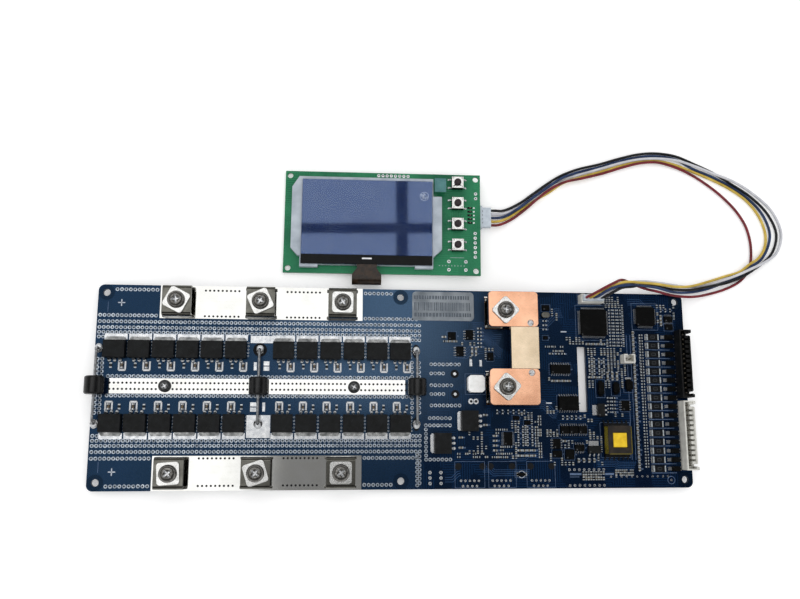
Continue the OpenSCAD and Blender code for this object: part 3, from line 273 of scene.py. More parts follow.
def stamp(bm, small, x, y, z=0, turn=0.0, frame_of=None):
    """Add a copy of a small mesh, made in millimetres, at a place."""
    move = Matrix.Translation((x, y, z)) @ Matrix.Rotation(turn, 4, "Z")
    if frame_of:
        move = frame_of @ move
    small.transform(move)
    bm.from_mesh(small)
    small.transform(move.inverted())


def block(width, depth, height):
    """Box on z = 0."""
    bm = bmesh.new()
    bmesh.ops.create_cube(bm, size=1)
    bmesh.ops.scale(bm, vec=(width, depth, height), verts=bm.verts)
    bmesh.ops.translate(bm, vec=(0, 0, height / 2), verts=bm.verts)
    return bm


def chip_shape(length, width, height, cap, edge=0.06):
    """Chip part along X on z = 0: body is material 0, the two metal ends are material 1."""
    bm = block(length, width, height)
    for side in (-1, 1):
        bmesh.ops.bisect_plane(
            bm, geom=bm.verts[:] + bm.edges[:] + bm.faces[:],
            plane_co=(side * (length / 2 - cap), 0, 0), plane_no=(1, 0, 0),
        )
    bevel(bm, [e for e in bm.edges if e.calc_face_angle(0) > 1], edge)
    for face in bm.faces:
        face.material_index = int(abs(face.calc_center_median().x) > length / 2 - cap - 1e-4)
    return shape(bm)


def turned_shape(profile, segments=16, axis=(0, 0, 1), smooth=40):
    """Round part from a profile of (radius, height) points."""
    bm = bmesh.new()
    points = [bm.verts.new((r, 0, z)) for r, z in profile]
    edges = [bm.edges.new(pair) for pair in zip(points, points[1:])]
    bmesh.ops.spin(
        bm, geom=points + edges, cent=(0, 0, 0), axis=(0, 0, 1), angle=2 * math.pi,
        steps=segments, use_merge=True,
    )
    bmesh.ops.remove_doubles(bm, verts=bm.verts, dist=1e-5)
    bmesh.ops.recalc_face_normals(bm, faces=bm.faces)
    turn = Vector((0, 0, 1)).rotation_difference(Vector(axis)).to_matrix()
    bmesh.ops.rotate(bm, verts=bm.verts, cent=(0, 0, 0), matrix=turn)
    return shape(bm, smooth)


def circle(radius, segments):
    bm = bmesh.new()
    bmesh.ops.create_circle(bm, cap_ends=True, segments=segments, radius=radius)
    return bm


def disc_shape(radius, segments=14):
    return shape(circle(radius, segments), None)


def ring_shape(outer, inner, segments=14):
    """Flat ring on z = 0, facing up."""
    bm = circle(outer, segments)
    bmesh.ops.inset_individual(
        bm, faces=bm.faces[:], thickness=outer - inner, use_even_offset=True
    )
    middle = min(bm.faces, key=lambda f: f.calc_center_median().length)
    bmesh.ops.delete(bm, geom=[middle], context="FACES")
    return shape(bm, None)


def oval_shape(width, depth):
    bm = circle(0.5, 28)
    bmesh.ops.scale(bm, vec=(width, depth, 1), verts=bm.verts)
    return shape(bm, None)


def block_shape(width, depth, height, edge):
    """Low block on z = 0 with softened edges."""
    bm = block(width, depth, height)
    bevel(bm, bm.edges[:], edge)
    return shape(bm, 30)


def plate_shape(width, depth):
    """Flat plate on z = 0, facing up."""
    bm = bmesh.new()
    bmesh.ops.create_grid(bm, x_segments=1, y_segments=1, size=0.5)
    bmesh.ops.scale(bm, vec=(width, depth, 1), verts=bm.verts)
    return shape(bm, None)


class Print:
    """Flat marks on one face of a board, all in one piece; those under it face down."""

    def __init__(self, z, frame_of=None, under=False):
        self.bm = bmesh.new()
        self.z = z
        self.frame_of = frame_of
        self.under = under
        self.shapes = {}

    def put(self, make, size, x, y, turn=0.0):
        """Stamp a shape, made once for each size."""
        key = (make, size)
        if key not in self.shapes:
            self.shapes[key] = make(*size)
            if self.under:
                self.shapes[key].flip_normals()
        stamp(self.bm, self.shapes[key], x, y, self.z, turn, self.frame_of)

    def bar(self, x, y, width, depth):
        self.put(plate_shape, (width, depth), x, y)

    def line(self, x0, y0, x1, y1, width):
        span = math.hypot(x1 - x0, y1 - y0)
        turn = math.atan2(y1 - y0, x1 - x0)
        self.put(plate_shape, (round(span, 3), width), (x0 + x1) / 2, (y0 + y1) / 2, turn)

    def outline(self, x0, y0, x1, y1, width):
        self.line(x0, y0, x1, y0, width)
        self.line(x0, y1, x1, y1, width)
        self.line(x0, y0, x0, y1, width)
        self.line(x1, y0, x1, y1, width)

    def piece(self, name, finish, slot):
        add_piece(name, self.bm, finish, slot=slot)


def unit(v):
    return v / np.linalg.norm(v)


def heading(points, i):
    """Direction of the route at point i, weighted by the lengths on both sides of it."""
    last = len(points) - 1
    before = points[i] - points[i - 1] if i else points[1] - points[0]
    after = points[i + 1] - points[i] if i < last else points[last] - points[last - 1]
    a, b = np.linalg.norm(before), np.linalg.norm(after)
    return (before / a * b + after / b * a) / (a + b)


def smooth_route(route, steps):
    """Points of the smooth curve through the route, as the CAD wires follow it."""
    points = np.array(route, float)
    made = []
    for i in range(len(points) - 1):
        reach = np.linalg.norm(points[i + 1] - points[i])
        for t in np.arange(steps) / steps:
            made.append(
                (2 * t**3 - 3 * t**2 + 1) * points[i]
                + (t**3 - 2 * t**2 + t) * reach * heading(points, i)
                + (3 * t**2 - 2 * t**3) * points[i + 1]
                + (t**3 - t**2) * reach * heading(points, i + 1)
            )
    return np.array([*made, points[-1]])


def tube_mesh(name, centre, radius, around):
    """Round tube of quads along a line of points, closed at both ends."""
    tangents = np.gradient(centre, axis=0)
    tangents /= np.linalg.norm(tangents, axis=1)[:, None]
    side = unit(np.cross((0, 0, 1), tangents[0]))
    bm = bmesh.new()
    turns = 2 * math.pi * np.arange(around) / around
    rings = []
    for place, tangent in zip(centre, tangents):
        side = unit(side - side.dot(tangent) * tangent)
        up = np.cross(tangent, side)
        ring = [place + radius * (math.cos(a) * side + math.sin(a) * up) for a in turns]
        rings.append([bm.verts.new(p * MM) for p in ring])
    for one, two in zip(rings, rings[1:]):
        for i in range(around):
            j = (i + 1) % around
            bm.faces.new((one[i], two[i], two[j], one[j])).smooth = True
    bm.faces.new(rings[0])
    bm.faces.new(rings[-1][::-1])
    bmesh.ops.recalc_face_normals(bm, faces=bm.faces)
    return finish_mesh(name, bm)


def carved(body, *cutters):
    """Cut small meshes out of another, and return what is left."""
    target = bpy.data.objects.new("carved", body)
    bpy.context.scene.collection.objects.link(target)
    tools = []
    for cutter in cutters:
        tool = bpy.data.objects.new("cutter", cutter)
        bpy.context.scene.collection.objects.link(tool)
        tools.append(tool)
        cut = target.modifiers.new("cut", "BOOLEAN")
        cut.operation, cut.solver, cut.object = "DIFFERENCE", "EXACT", tool
        cut.material_mode = "INDEX"
    evaluated = target.evaluated_get(bpy.context.evaluated_depsgraph_get())
    left = bpy.data.meshes.new_from_object(evaluated)
    for obj in (target, *tools):
        bpy.data.objects.remove(obj)
    return left


# ------------------------------------------------------------------ materials


class Tree:
    """Short way to build a node tree: add nodes with values, and link sockets."""

    def __init__(self, tree):
        self.tree = tree

    def node(self, kind, values=None, **settings):
        made = self.tree.nodes.new(kind)
        for key, value in settings.items():
            setattr(made, key, value)
        for key, value in (values or {}).items():
            self.feed(made.inputs[key], value)
        return made

    def feed(self, socket, value):
        """A socket or node is linked; anything else becomes the socket's own value."""
        if isinstance(value, bpy.types.Node):
            value = value.outputs[0]
        if isinstance(value, bpy.types.NodeSocket):
            self.tree.links.new(value, socket)
        else:
            socket.default_value = value

    def math(self, operation, *values):
        made = self.node("ShaderNodeMath", operation=operation)
        for socket, value in zip(made.inputs, values):
            self.feed(socket, value)
        return made.outputs[0]

    def times(self, *values):
        return functools.reduce(functools.partial(self.math, "MULTIPLY"), values)

    def mix(self, factor, a, b):
        """Colour mix; a and b are colours, as sRGB hex strings, or sockets."""
        made = self.node("ShaderNodeMix", data_type="RGBA")
        for socket, value in (("Factor", factor), ("A", a), ("B", b)):
            self.feed(made.inputs[socket], linear(value) if isinstance(value, str) else value)
        return made.outputs["Result"]

    def spread(self, value, low, high, to_low=0.0, to_high=1.0, smooth=False):
        """Map a value from one range to another, held within it."""
        made = self.node(
            "ShaderNodeMapRange",
            {
                "Value": value, "From Min": low, "From Max": high, "To Min": to_low,
                "To Max": to_high,
            },
            interpolation_type="SMOOTHSTEP" if smooth else "LINEAR",
        )
        return made.outputs[0]

    def millimetres(self, turn=0.0):
        """Place on the object in millimetres, turned for a pattern."""
        coords = self.node("ShaderNodeTexCoord").outputs["Object"]
        return self.node(
            "ShaderNodeMapping",
            {"Vector": coords, "Scale": (1 / MM, 1 / MM, 1 / MM), "Rotation": (0, 0, turn)},
        ).outputs[0]

    def noise(self, place, scale, detail):
        values = {"Vector": place, "Scale": scale, "Detail": detail}
        return self.node("ShaderNodeTexNoise", values).outputs["Fac"]

    def streaks(self, place, x, y, z, detail):
        """Noise whose clouds are drawn out by a factor along each axis."""
        factors = self.node("ShaderNodeCombineXYZ", {"X": x, "Y": y, "Z": z})
        drawn = self.node("ShaderNodeVectorMath", {0: place, 1: factors}, operation="MULTIPLY")
        return self.noise(drawn, 1, detail)


def linear(hexed):
    """Linear RGBA of a colour written as an sRGB hex string."""
    values = [int(hexed[i : i + 2], 16) / 255 for i in (0, 2, 4)]
    return [*((v / 12.92 if v <= 0.04045 else ((v + 0.055) / 1.055) ** 2.4) for v in values), 1]


def effect(name, inputs, outputs):
    """A shader node group with named float sockets, and the tree inside it."""
    group = bpy.data.node_groups.new(name, "ShaderNodeTree")
    for label, default in inputs.items():
        socket = group.interface.new_socket(label, in_out="INPUT", socket_type="NodeSocketFloat")
        socket.default_value = default
    for label in outputs:
        group.interface.new_socket(label, in_out="OUTPUT", socket_type="NodeSocketFloat")
    tree = Tree(group)
    return group, tree, tree.node("NodeGroupInput").outputs, tree.node("NodeGroupOutput").inputs


def make_grain():
    """Cloudy and fine variation; Size is the length of the clouds in millimetres."""
    group, tree, given, result = effect("Grain", {"Size": 2, "Fine": 0.15}, ("Clouds", "Specks"))
    place = tree.millimetres()
    clouds = tree.noise(place, tree.math("DIVIDE", 1, given["Size"]), 3)
    specks = tree.noise(place, tree.math("DIVIDE", 1, given["Fine"]), 1)
    tree.feed(result["Clouds"], tree.spread(clouds, 0.3, 0.7))
    tree.feed(result["Specks"], tree.spread(specks, 0.25, 0.75))
    return group


def make_scratches():
    """Fine straight handling marks in two directions; Reach is their length in millimetres."""
    group, tree, given, result = effect("Scratches", {"Amount": 0.5, "Reach": 4}, ("Marks",))
    squeeze = tree.math("DIVIDE", 1, given["Reach"])
    marks = [
        tree.spread(tree.streaks(tree.millimetres(turn), squeeze, 9, 1, 2), 0.66, 0.72)
        for turn in (0.5, 2.0)
    ]
    tree.feed(result["Marks"], tree.times(tree.math("MAXIMUM", *marks), given["Amount"]))
    return group


def make_brushing():
    """Rolling or milling lines along X; Pitch is their spacing in millimetres."""
    group, tree, given, result = effect("Brushing", {"Pitch": 0.2}, ("Lines",))
    across = tree.math("DIVIDE", 1, given["Pitch"])
    lines = tree.streaks(tree.millimetres(), 0.06, across, across, 3)
    tree.feed(result["Lines"], tree.spread(lines, 0.3, 0.7))
    return group


def placed(tree, make, **values):
    """Outputs of a shared effect, built on its first use, with this material's own values."""
    name = make.__name__.removeprefix("make_").title()
    group = bpy.data.node_groups.get(name) or make()
    return tree.node("ShaderNodeGroup", values, node_tree=group).outputs


def new_material(name, **sockets):
    """An empty material: its tree and its Principled shader with constant sockets set."""
    material = bpy.data.materials.new(name)
    material.use_nodes = True
    tree = Tree(material.node_tree)
    tree.tree.nodes.clear()
    shader = tree.node("ShaderNodeBsdfPrincipled", sockets)
    tree.node("ShaderNodeOutputMaterial", {"Surface": shader.outputs["BSDF"]})
    return material, tree, shader.inputs


def relief(tree, shader, height, distance, strength=0.6):
    values = {"Height": height, "Distance": distance * MM, "Strength": strength}
    tree.feed(shader["Normal"], tree.node("ShaderNodeBump", values).outputs["Normal"])


def moulded(name, dark, light, smooth, dull, size, depth=0.02, marks=0, **sockets):
    """Plastic, resin or ceramic: mottled colour, uneven gloss and a fine tooth."""
    material, tree, shader = new_material(name, **sockets)
    grain = placed(tree, make_grain, Size=size, Fine=0.12)
    colour = tree.mix(grain["Clouds"], dark, light)
    if marks:
        scratches = placed(tree, make_scratches, Amount=marks)
        colour = tree.mix(scratches["Marks"], colour, "b8b8b8")
    tree.feed(shader["Base Color"], colour)
    tree.feed(shader["Roughness"], tree.spread(grain["Specks"], 0, 1, smooth, dull))
    relief(tree, shader, grain["Specks"], depth)
    return material


def plated(name, dark, light, smooth, dull, size, marks, pitch=0, depth=0.01):
    """Metal: tarnish clouds, handling marks, and rolling lines where it has a pitch."""
    material, tree, shader = new_material(name, Metallic=1)
    grain = placed(tree, make_grain, Size=size, Fine=0.1)
    scratches = placed(tree, make_scratches, Amount=marks)
    colour = tree.mix(grain["Clouds"], dark, light)
    gloss = tree.spread(grain["Clouds"], 0, 1, dull, smooth)
    height = grain["Specks"]
    if pitch:
        height = placed(tree, make_brushing, Pitch=pitch)["Lines"]
        colour = tree.mix(tree.times(height, 0.25), colour, light)
    tree.feed(shader["Base Color"], colour)
    tree.feed(shader["Roughness"], tree.math("ADD", gloss, tree.times(scratches["Marks"], 0.3)))
    relief(tree, shader, height, depth)
    return material


def solder_mask(name, bare, copper, track, painted_sheen, routed_from, ior, tint):
    """Glossy mask over copper: tracks show as raised lighter lines, poured areas as fields, and a
    painted reflection pales the mask round one place.
    """
    material, tree, shader = new_material(name, **{"IOR": ior, "Specular Tint": tint})
    place = tree.millimetres()
    cells = tree.node(
        "ShaderNodeTexVoronoi", {"Vector": place, "Scale": 0.11}, distance="CHEBYCHEV"
    )
    pick = tree.node("ShaderNodeSeparateColor", {"Color": cells.outputs["Color"]}).outputs
    lines = []
    for axis in ("X", "Y"):
        values = {"Vector": place, "Scale": 0.26, "Distortion": 0}
        wave = tree.node("ShaderNodeTexWave", values, bands_direction=axis)
        lines.append(tree.spread(wave.outputs["Fac"], 0.62, 0.74))
    upright = tree.math("GREATER_THAN", pick["Red"], 0.5)
    tracks = tree.node("ShaderNodeMix", {"Factor": upright, "A": lines[0], "B": lines[1]})
    side = tree.node("ShaderNodeSeparateXYZ", {"Vector": place}).outputs["X"]
    control = tree.spread(side, *routed_from, smooth=True)
    some = tree.math("LESS_THAN", pick["Green"], 0.6)
    routed = tree.times(tracks.outputs["Result"], some, control)
    grain = placed(tree, make_grain, Size=14, Fine=0.35)
    base = tree.mix(grain["Clouds"], bare, copper)
    base = tree.mix(tree.times(routed, 0.5), base, track)
    # painted reflection: round one place on the board the mask is painted towards a paler sheen
    # colour, which stands in for light that it mirrors
    sheen_heart = {0: place, 1: (-12, 34, 2)}
    centre = tree.node("ShaderNodeVectorMath", sheen_heart, operation="DISTANCE").outputs["Value"]
    base = tree.mix(tree.spread(centre, 78, 12, 0, 0.85, smooth=True), base, painted_sheen)
    tree.feed(shader["Base Color"], base)
    tree.feed(shader["Specular IOR Level"], tree.spread(control, 0, 1, 0.5, 0.2))
    tree.feed(shader["Roughness"], tree.spread(grain["Specks"], 0, 1, 0.22, 0.34))
    weave = tree.math("ADD", tree.times(grain["Specks"], 0.3), routed)
    relief(tree, shader, weave, 0.03, 0.5)
    return material


def display_glass():
    """Dark blue display under glass that mirrors with a blue cast."""
    sockets = {"IOR": 2.5, "Specular Tint": (0.44, 0.6, 1, 1)}
    material, tree, shader = new_material("glass", **sockets)
    grain = placed(tree, make_grain, Size=18, Fine=0.2)
    scratches = placed(tree, make_scratches, Amount=0.12, Reach=12)
    colour = tree.mix(grain["Clouds"], "14234a", "192a53")
    tree.feed(shader["Base Color"], tree.mix(scratches["Marks"], colour, "7d8cb8"))
    tree.feed(shader["Roughness"], tree.spread(grain["Specks"], 0, 1, 0.02, 0.04))
    return material


def clear_film():
    """Clear sheet, a little milky, that lies loose on the glass."""
    material, tree, shader = new_material("film", IOR=1.45)
    clouds = placed(tree, make_grain, Size=7, Fine=0.3)["Clouds"]
    tree.feed(shader["Base Color"], tree.mix(clouds, "a9b7c6", "c9d4de"))
    tree.feed(shader["Roughness"], tree.spread(clouds, 0, 1, 0.03, 0.08))
    tree.feed(shader["Alpha"], tree.spread(clouds, 0, 1, 0.004, 0.014))
    return material


# Solder masks: colour when bare, over copper, of tracks and of the painted sheen (a paler colour
# painted as a reflection round one place), the two x between which the control section's tracks
# set in, and how it mirrors
MASKS = {
    "mask_blue": ("02091b", "030e26", "0f2c50", "43566b", (8, 12), 1.72, (0.22, 0.52, 1, 1)),
    "mask_bare": ("030b1c", "040f22", "040f22", "1c2836", (400, 401), 1.5, (0.25, 0.55, 1, 1)),
    "mask_green": (
        "145a3e", "2a7d54", "2f8a5b", "2a7d54", (-200, -199), 1.75, (0.6, 1, 0.8, 1),
    ),
}
# Metals: dark and light colour, roughness from and to, size of the clouds, strength of the
# handling marks, pitch of the rolling lines and depth of the relief
METALS = {
    "tinned": ("ebebe6", "fafaf8", 0.03, 0.07, 9, 0.12, 0.5, 0.0015),
    "solder": ("d0d2d4", "f8f9fa", 0.16, 0.3, 1.2, 0, 0, 0.002),
    "lead_tin": ("9a9da1", "d2d4d6", 0.25, 0.42, 1.5, 0.2),
    # the leads of the row transistors: a darker copy of the lead metal, painted shade
    "lead_dark": ("4b4e52", "7b7f84", 0.25, 0.42, 1.5, 0.2),
    "tab_tin": ("7d7f80", "b9bab9", 0.22, 0.4, 2, 0.4),
    "nickel": ("5e5d57", "7d7c75", 0.12, 0.22, 4, 0.4, 0.35, 0.003),
    "zinc": ("e4e4e1", "fbfbf9", 0.1, 0.2, 2, 0.25),
    "head_steel": ("6a6864", "a3a19c", 0.2, 0.34, 1.2, 0.3),
    "dark_steel": ("4a4b4c", "7b7c7d", 0.25, 0.4, 2, 0.3),
    "copper": ("f4b48f", "ffc7a4", 0.12, 0.18, 9, 0.4, 0.3, 0.003),
    "alloy": ("f0d8b6", "f6e0c2", 0.15, 0.2, 9, 0.35, 0.3, 0.003),
    "gold": ("6e675a", "9c9484", 0.25, 0.4, 1, 0.1),
    "label_foil": ("a4adb6", "c3cad1", 0.4, 0.55, 6, 0.5),
    "via_tin": ("9eabbb", "dde6ef", 0.25, 0.45, 2, 0, 0, 0.001),
    "pad_tin": ("d5d9de", "f6f7f8", 0.2, 0.32, 2, 0.1, 0, 0.001),
}
# Plastics and paints: dark and light colour, roughness from and to, size of the clouds, and
# what differs from the usual
PLASTICS = {
    "tape_olive": ("5d5208", "7d7010", 0.2, 0.35, 3, {}),
    "film_tab": ("35686a", "4a8081", 0.2, 0.35, 5, {}),
    "moulding": ("0b0d0e", "16191b", 0.42, 0.58, 3, {"marks": 0.05, "IOR": 1.36}),
    "chip_case": ("010202", "050606", 0.4, 0.55, 3, {"marks": 0.04, "IOR": 1.25}),
    "diode_resin": ("060708", "101113", 0.16, 0.28, 3, {"marks": 0.05}),
    "chip_glaze": ("06070a", "101318", 0.25, 0.4, 0.8, {"IOR": 1.36}),
    "solder_bright": ("cfd3d7", "f6f8fa", 0.12, 0.22, 1, {"depth": 0.002, "Metallic": 0.35}),
    "chip_end": ("7d8387", "b4babe", 0.25, 0.4, 0.9, {}),
    "chip_tan": ("4c463c", "6f6757", 0.35, 0.5, 0.8, {}),
    "diode_glass": ("1a1614", "6a5a40", 0.1, 0.2, 0.9, {"Coat Weight": 1.0}),
    "header_black": ("050606", "0e0f10", 0.4, 0.55, 3, {}),
    "header_white": ("c0bfb9", "dbdad3", 0.4, 0.55, 3, {}),
    "ferrite": ("1c1816", "33291f", 0.35, 0.6, 2.5, {"depth": 0.05}),
    "tape_yellow": ("d8ad08", "f2cc1e", 0.25, 0.4, 3, {}),
    "choke_top": ("eeefed", "ffffff", 0.4, 0.6, 2.2, {"marks": 0.35}),
    "track": ("163a63", "1f4874", 0.22, 0.34, 4, {}),
    "ink": ("a9b2c0", "cfd5de", 0.6, 0.75, 1.5, {}),
    "ink_faint": ("3d5474", "64799a", 0.6, 0.75, 1.5, {}),
    "hole_dark": ("05070b", "0b0f16", 0.6, 0.8, 2.5, {}),
    "label_ink": ("48515b", "626c77", 0.5, 0.6, 1, {}),
    "frame_pale": ("9fa9b4", "bcc5ce", 0.4, 0.55, 6, {}),
    "seal_black": ("020303", "07080a", 0.04, 0.1, 3, {"IOR": 1.26}),
    "flex_brown": ("150d07", "352414", 0.2, 0.35, 2, {}),
    "button_brown": ("1f1518", "33252a", 0.35, 0.5, 1, {}),
    "socket_white": ("b4bec9", "d2dbe4", 0.4, 0.55, 3, {}),
    "mark_grey": ("33373a", "4a4e52", 0.35, 0.5, 1, {}),
    "film_white": ("8fa0c0", "c0cbe0", 0.3, 0.5, 1, {}),
    "ink_white": ("d8dadd", "f2f3f4", 0.4, 0.6, 1, {}),
}
FINISH = {}


def make_finishes():
    """Make all materials of the object, by name."""
    for maker, table in ((solder_mask, MASKS), (plated, METALS)):
        FINISH.update({name: maker(name, *values) for name, values in table.items()})
    for name, (*values, more) in PLASTICS.items():
        FINISH[name] = moulded(name, *values, **more)
    FINISH.update(glass=display_glass(), film=clear_film())


# ------------------------------------------------------------------ settings


class StageSettings(bpy.types.PropertyGroup):
    """Camera, floor and light."""

    camera_place: FloatVectorProperty(
        name="Camera place", description="Where the camera stands, in millimetres",
        default=(-40.945, -26.288, 403.521), size=3,
    )
    camera_forward: FloatVectorProperty(
        name="Camera direction", description="Where the camera looks",
        default=(0.09903, 0.17365, -0.97981), size=3,
    )
    camera_right: FloatVectorProperty(
        name="Camera right", description="Direction of the picture's right side",
        default=(0.99494, -0.00065, 0.10045), size=3,
    )
    lens: FloatProperty(
        name="Lens", description="Focal length on a 36 mm wide sensor", default=36, min=20,
        max=85, unit="CAMERA",
    )
    daylight: FloatProperty(
        name="Daylight", description="Strength of the even light from all sides", default=0.95,
        min=0.2, max=1.5,
    )
    lamp: FloatProperty(
        name="Lamp", description="Power of the soft lamp over the board", default=0.9, min=0,
        max=5, unit="POWER",
    )
    window_bars: FloatVectorProperty(
        name="Window bars", size=4, default=(0.0045, 0.2695, 0.007, 0.0065),
        description="Slopes at which the window's cross lies, and half of its widths",
    )


class PrintSettings(bpy.types.PropertyGroup):
    """Marks and vias on the power board."""

    line: FloatProperty(
        name="Line width", description="Width of the printed lines, in millimetres",
        default=0.22, min=0.1, max=0.5,
    )
    via_pitch: FloatProperty(
        name="Via pitch", description="Distance between neighbouring vias, in millimetres",
        default=2.04, min=1.5, max=3,
    )
    via_outer: FloatProperty(
        name="Via ring", description="Outer diameter of a via's ring, in millimetres",
        default=1.86, min=0.8, max=2.2,
    )
    via_hole: FloatProperty(
        name="Via hole", description="Diameter of a via's hole, in millimetres",
        default=0.92, min=0.3, max=1.2,
    )


class PartSettings(bpy.types.PropertyGroup):
    """Parts on the power board."""

    chip_cap: FloatProperty(
        name="Chip ends", description="Length of a chip part's metal end, in millimetres",
        default=0.42, min=0.2, max=0.8,
    )


class DisplaySettings(bpy.types.PropertyGroup):
    """Place of the display unit on the table."""

    place: FloatVectorProperty(
        name="Place", description="Lower left corner of the display board, in millimetres",
        default=(-60.3, 58.55, -2.5), size=3,
    )
    turn: FloatProperty(
        name="Turn", description="Angle of the unit on the table",
        default=math.radians(-0.5), subtype="ANGLE",
    )
    tilt: FloatProperty(
        name="Tilt", description="Angle by which its right edge stands up",
        default=math.radians(2.868), subtype="ANGLE",
    )
    thickness: FloatProperty(
        name="Board thickness", description="Thickness of the display board, in millimetres",
        default=1.6,
    )


class CableSettings(bpy.types.PropertyGroup):
    """The five wires."""

    diameter: FloatProperty(
        name="Diameter", description="Diameter of each wire, in millimetres", default=1.4,
        min=1, max=1.6,
    )
    sides: IntProperty(
        name="Sides", description="Faces round each wire", default=16, min=8, max=32
    )


# ------------------------------------------------------------------ operators


class BOARD_OT_stage(bpy.types.Operator):
    """Make the camera, the floor and the light"""

    bl_idname = "board.stage"
    bl_label = "Stage"

    def execute(self, context):
        scene = context.scene
        settings = scene.board_stage
        data = bpy.data.cameras.new("camera")
        data.lens, data.sensor_width = settings.lens, 36
        data.clip_start, data.clip_end = 0.01, 20
        camera = bpy.data.objects.new("camera", data)
        scene.collection.objects.link(camera)
        forward = Vector(settings.camera_forward).normalized()
        right = Vector(settings.camera_right).normalized()
        turn = Matrix((right, right.cross(forward), -forward)).transposed().to_4x4()
        camera.matrix_world = Matrix.Translation(Vector(settings.camera_place) * MM) @ turn
        scene.camera = camera
        self.floor()
        self.world(scene)
        self.lamp(scene)
        scene.view_settings.view_transform = "Standard"
        return {"FINISHED"}

    def floor(self):
        bm = bmesh.new()
        bmesh.ops.create_grid(bm, x_segments=2, y_segments=2, size=3)
        bmesh.ops.translate(bm, verts=bm.verts, vec=(0, 0, CAD_BOX[0][2]))
        sockets = {"Base Color": (0.96, 0.96, 0.96, 1), "Roughness": 0.9}
        material, tree, shader = new_material(
            "floor", **sockets, **{"Emission Color": (1, 1, 1, 1)}
        )
        seen = tree.node("ShaderNodeLightPath").outputs["Is Camera Ray"]
        tree.feed(shader["Emission Strength"], tree.times(seen, 0.2))
        add_object("floor", finish_mesh("floor", bm), material, body=None)

    def world(self, scene):
        """Even white light; what gloss and metal mirror is a bright ceiling with a window."""
        world = bpy.data.worlds.new("studio")
        scene.world = world
        world.use_nodes = True
        # so that gloss meets only the ceiling, at every roughness
        world.cycles.sampling_method = "NONE"
        tree = Tree(world.node_tree)
        tree.tree.nodes.clear()
        place = tree.node("ShaderNodeTexCoord").outputs["Generated"]
        way = tree.node("ShaderNodeSeparateXYZ", {0: place}).outputs
        up = tree.math("MAXIMUM", way["Z"], 0.02)
        east, north = (tree.math("DIVIDE", way[axis], up) for axis in "XY")
        step = functools.partial(tree.spread, smooth=True)
        # a lit patch of ceiling lies overhead and to the west; the rest of the room is dim
        patch = tree.times(
            step(east, -0.6, -0.45, 0, 1), step(east, 0.295, 0.35, 1, 0),
            step(north, -0.3, -0.12, 0, 1), step(north, 0.45, 0.6, 1, 0),
        )
        dusk = tree.times(step(north, 0, 0.04, 1, 0), step(east, -0.11, -0.04, 0, 1))
        patch = tree.times(patch, tree.spread(dusk, 0, 1, 1, 0.12))
        ceiling = tree.spread(patch, 0, 1, 0.07, 1.15)
        # near the horizon the room is brighter again
        low = tree.math("MAXIMUM", tree.math("ABSOLUTE", east), tree.math("ABSOLUTE", north))
        ceiling = tree.math("MAXIMUM", ceiling, step(low, 0.9, 2.2, 0, 0.6))
        x, y, half_x, half_y = scene.board_stage.window_bars
        upright = tree.times(
            self.bar(tree, east, x, half_x), tree.math("GREATER_THAN", north, 0.21)
        )
        bars = tree.math("MAXIMUM", upright, self.bar(tree, north, y, half_y))
        ceiling = tree.times(ceiling, tree.spread(bars, 0, 1, 1, 0.01))
        path = tree.node("ShaderNodeLightPath").outputs
        values = {"Factor": path["Is Glossy Ray"], "A": scene.board_stage.daylight, "B": ceiling}
        light = tree.node("ShaderNodeMix", values).outputs["Result"]
        strength = tree.math("MAXIMUM", light, path["Is Camera Ray"])
        values = {"Color": (1, 1, 1, 1), "Strength": strength}
        background = tree.node("ShaderNodeBackground", values)
        tree.node("ShaderNodeOutputWorld", {"Surface": background})

    def bar(self, tree, slope, middle, half):
        """Mask of one bar of the window, soft at its sides."""
        off = tree.math("ABSOLUTE", tree.math("SUBTRACT", slope, middle))
        return tree.spread(off, half, half * 1.25, 1, 0)

    def lamp(self, scene):
        data = bpy.data.lights.new("lamp", "AREA")
        data.shape, data.size, data.energy = "DISK", 0.9, scene.board_stage.lamp
        lamp = bpy.data.objects.new("lamp", data)
        aim = Vector((-0.35, 0.35, 1.1)).to_track_quat("Z", "Y").to_matrix().to_4x4()
        lamp.matrix_world = Matrix.Translation((-0.35, 0.4, 1.1)) @ aim
        lamp.visible_glossy = False
        scene.collection.objects.link(lamp)


class BOARD_OT_cable(bpy.types.Operator):
    """Make the five wires that join the two boards"""

    bl_idname = "board.cable"
    bl_label = "Cable"

    colours = {
        "black": ("101114", "1f2024"), "white": ("bcbdc4", "d8d9de"),
        "blue": ("152648", "25406d"), "yellow": ("b89a35", "d8bb55"),
        "red": ("5a131c", "85222e"),
    }

    def execute(self, context):
        settings = context.scene.board_cable
        for name, route in ROUTES.items():
            line = smooth_route(route, 5)
            mesh = tube_mesh(f"wire_{name}_tube", line, settings.diameter / 2, settings.sides)
            sleeve = moulded(f"sleeve_{name}", *self.colours[name], 0.32, 0.45, 5, marks=0.05)
            wire = add_object(f"wire_{name}_tube", mesh, sleeve)
            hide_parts(f"wire_{name}")
        return {"FINISHED"}


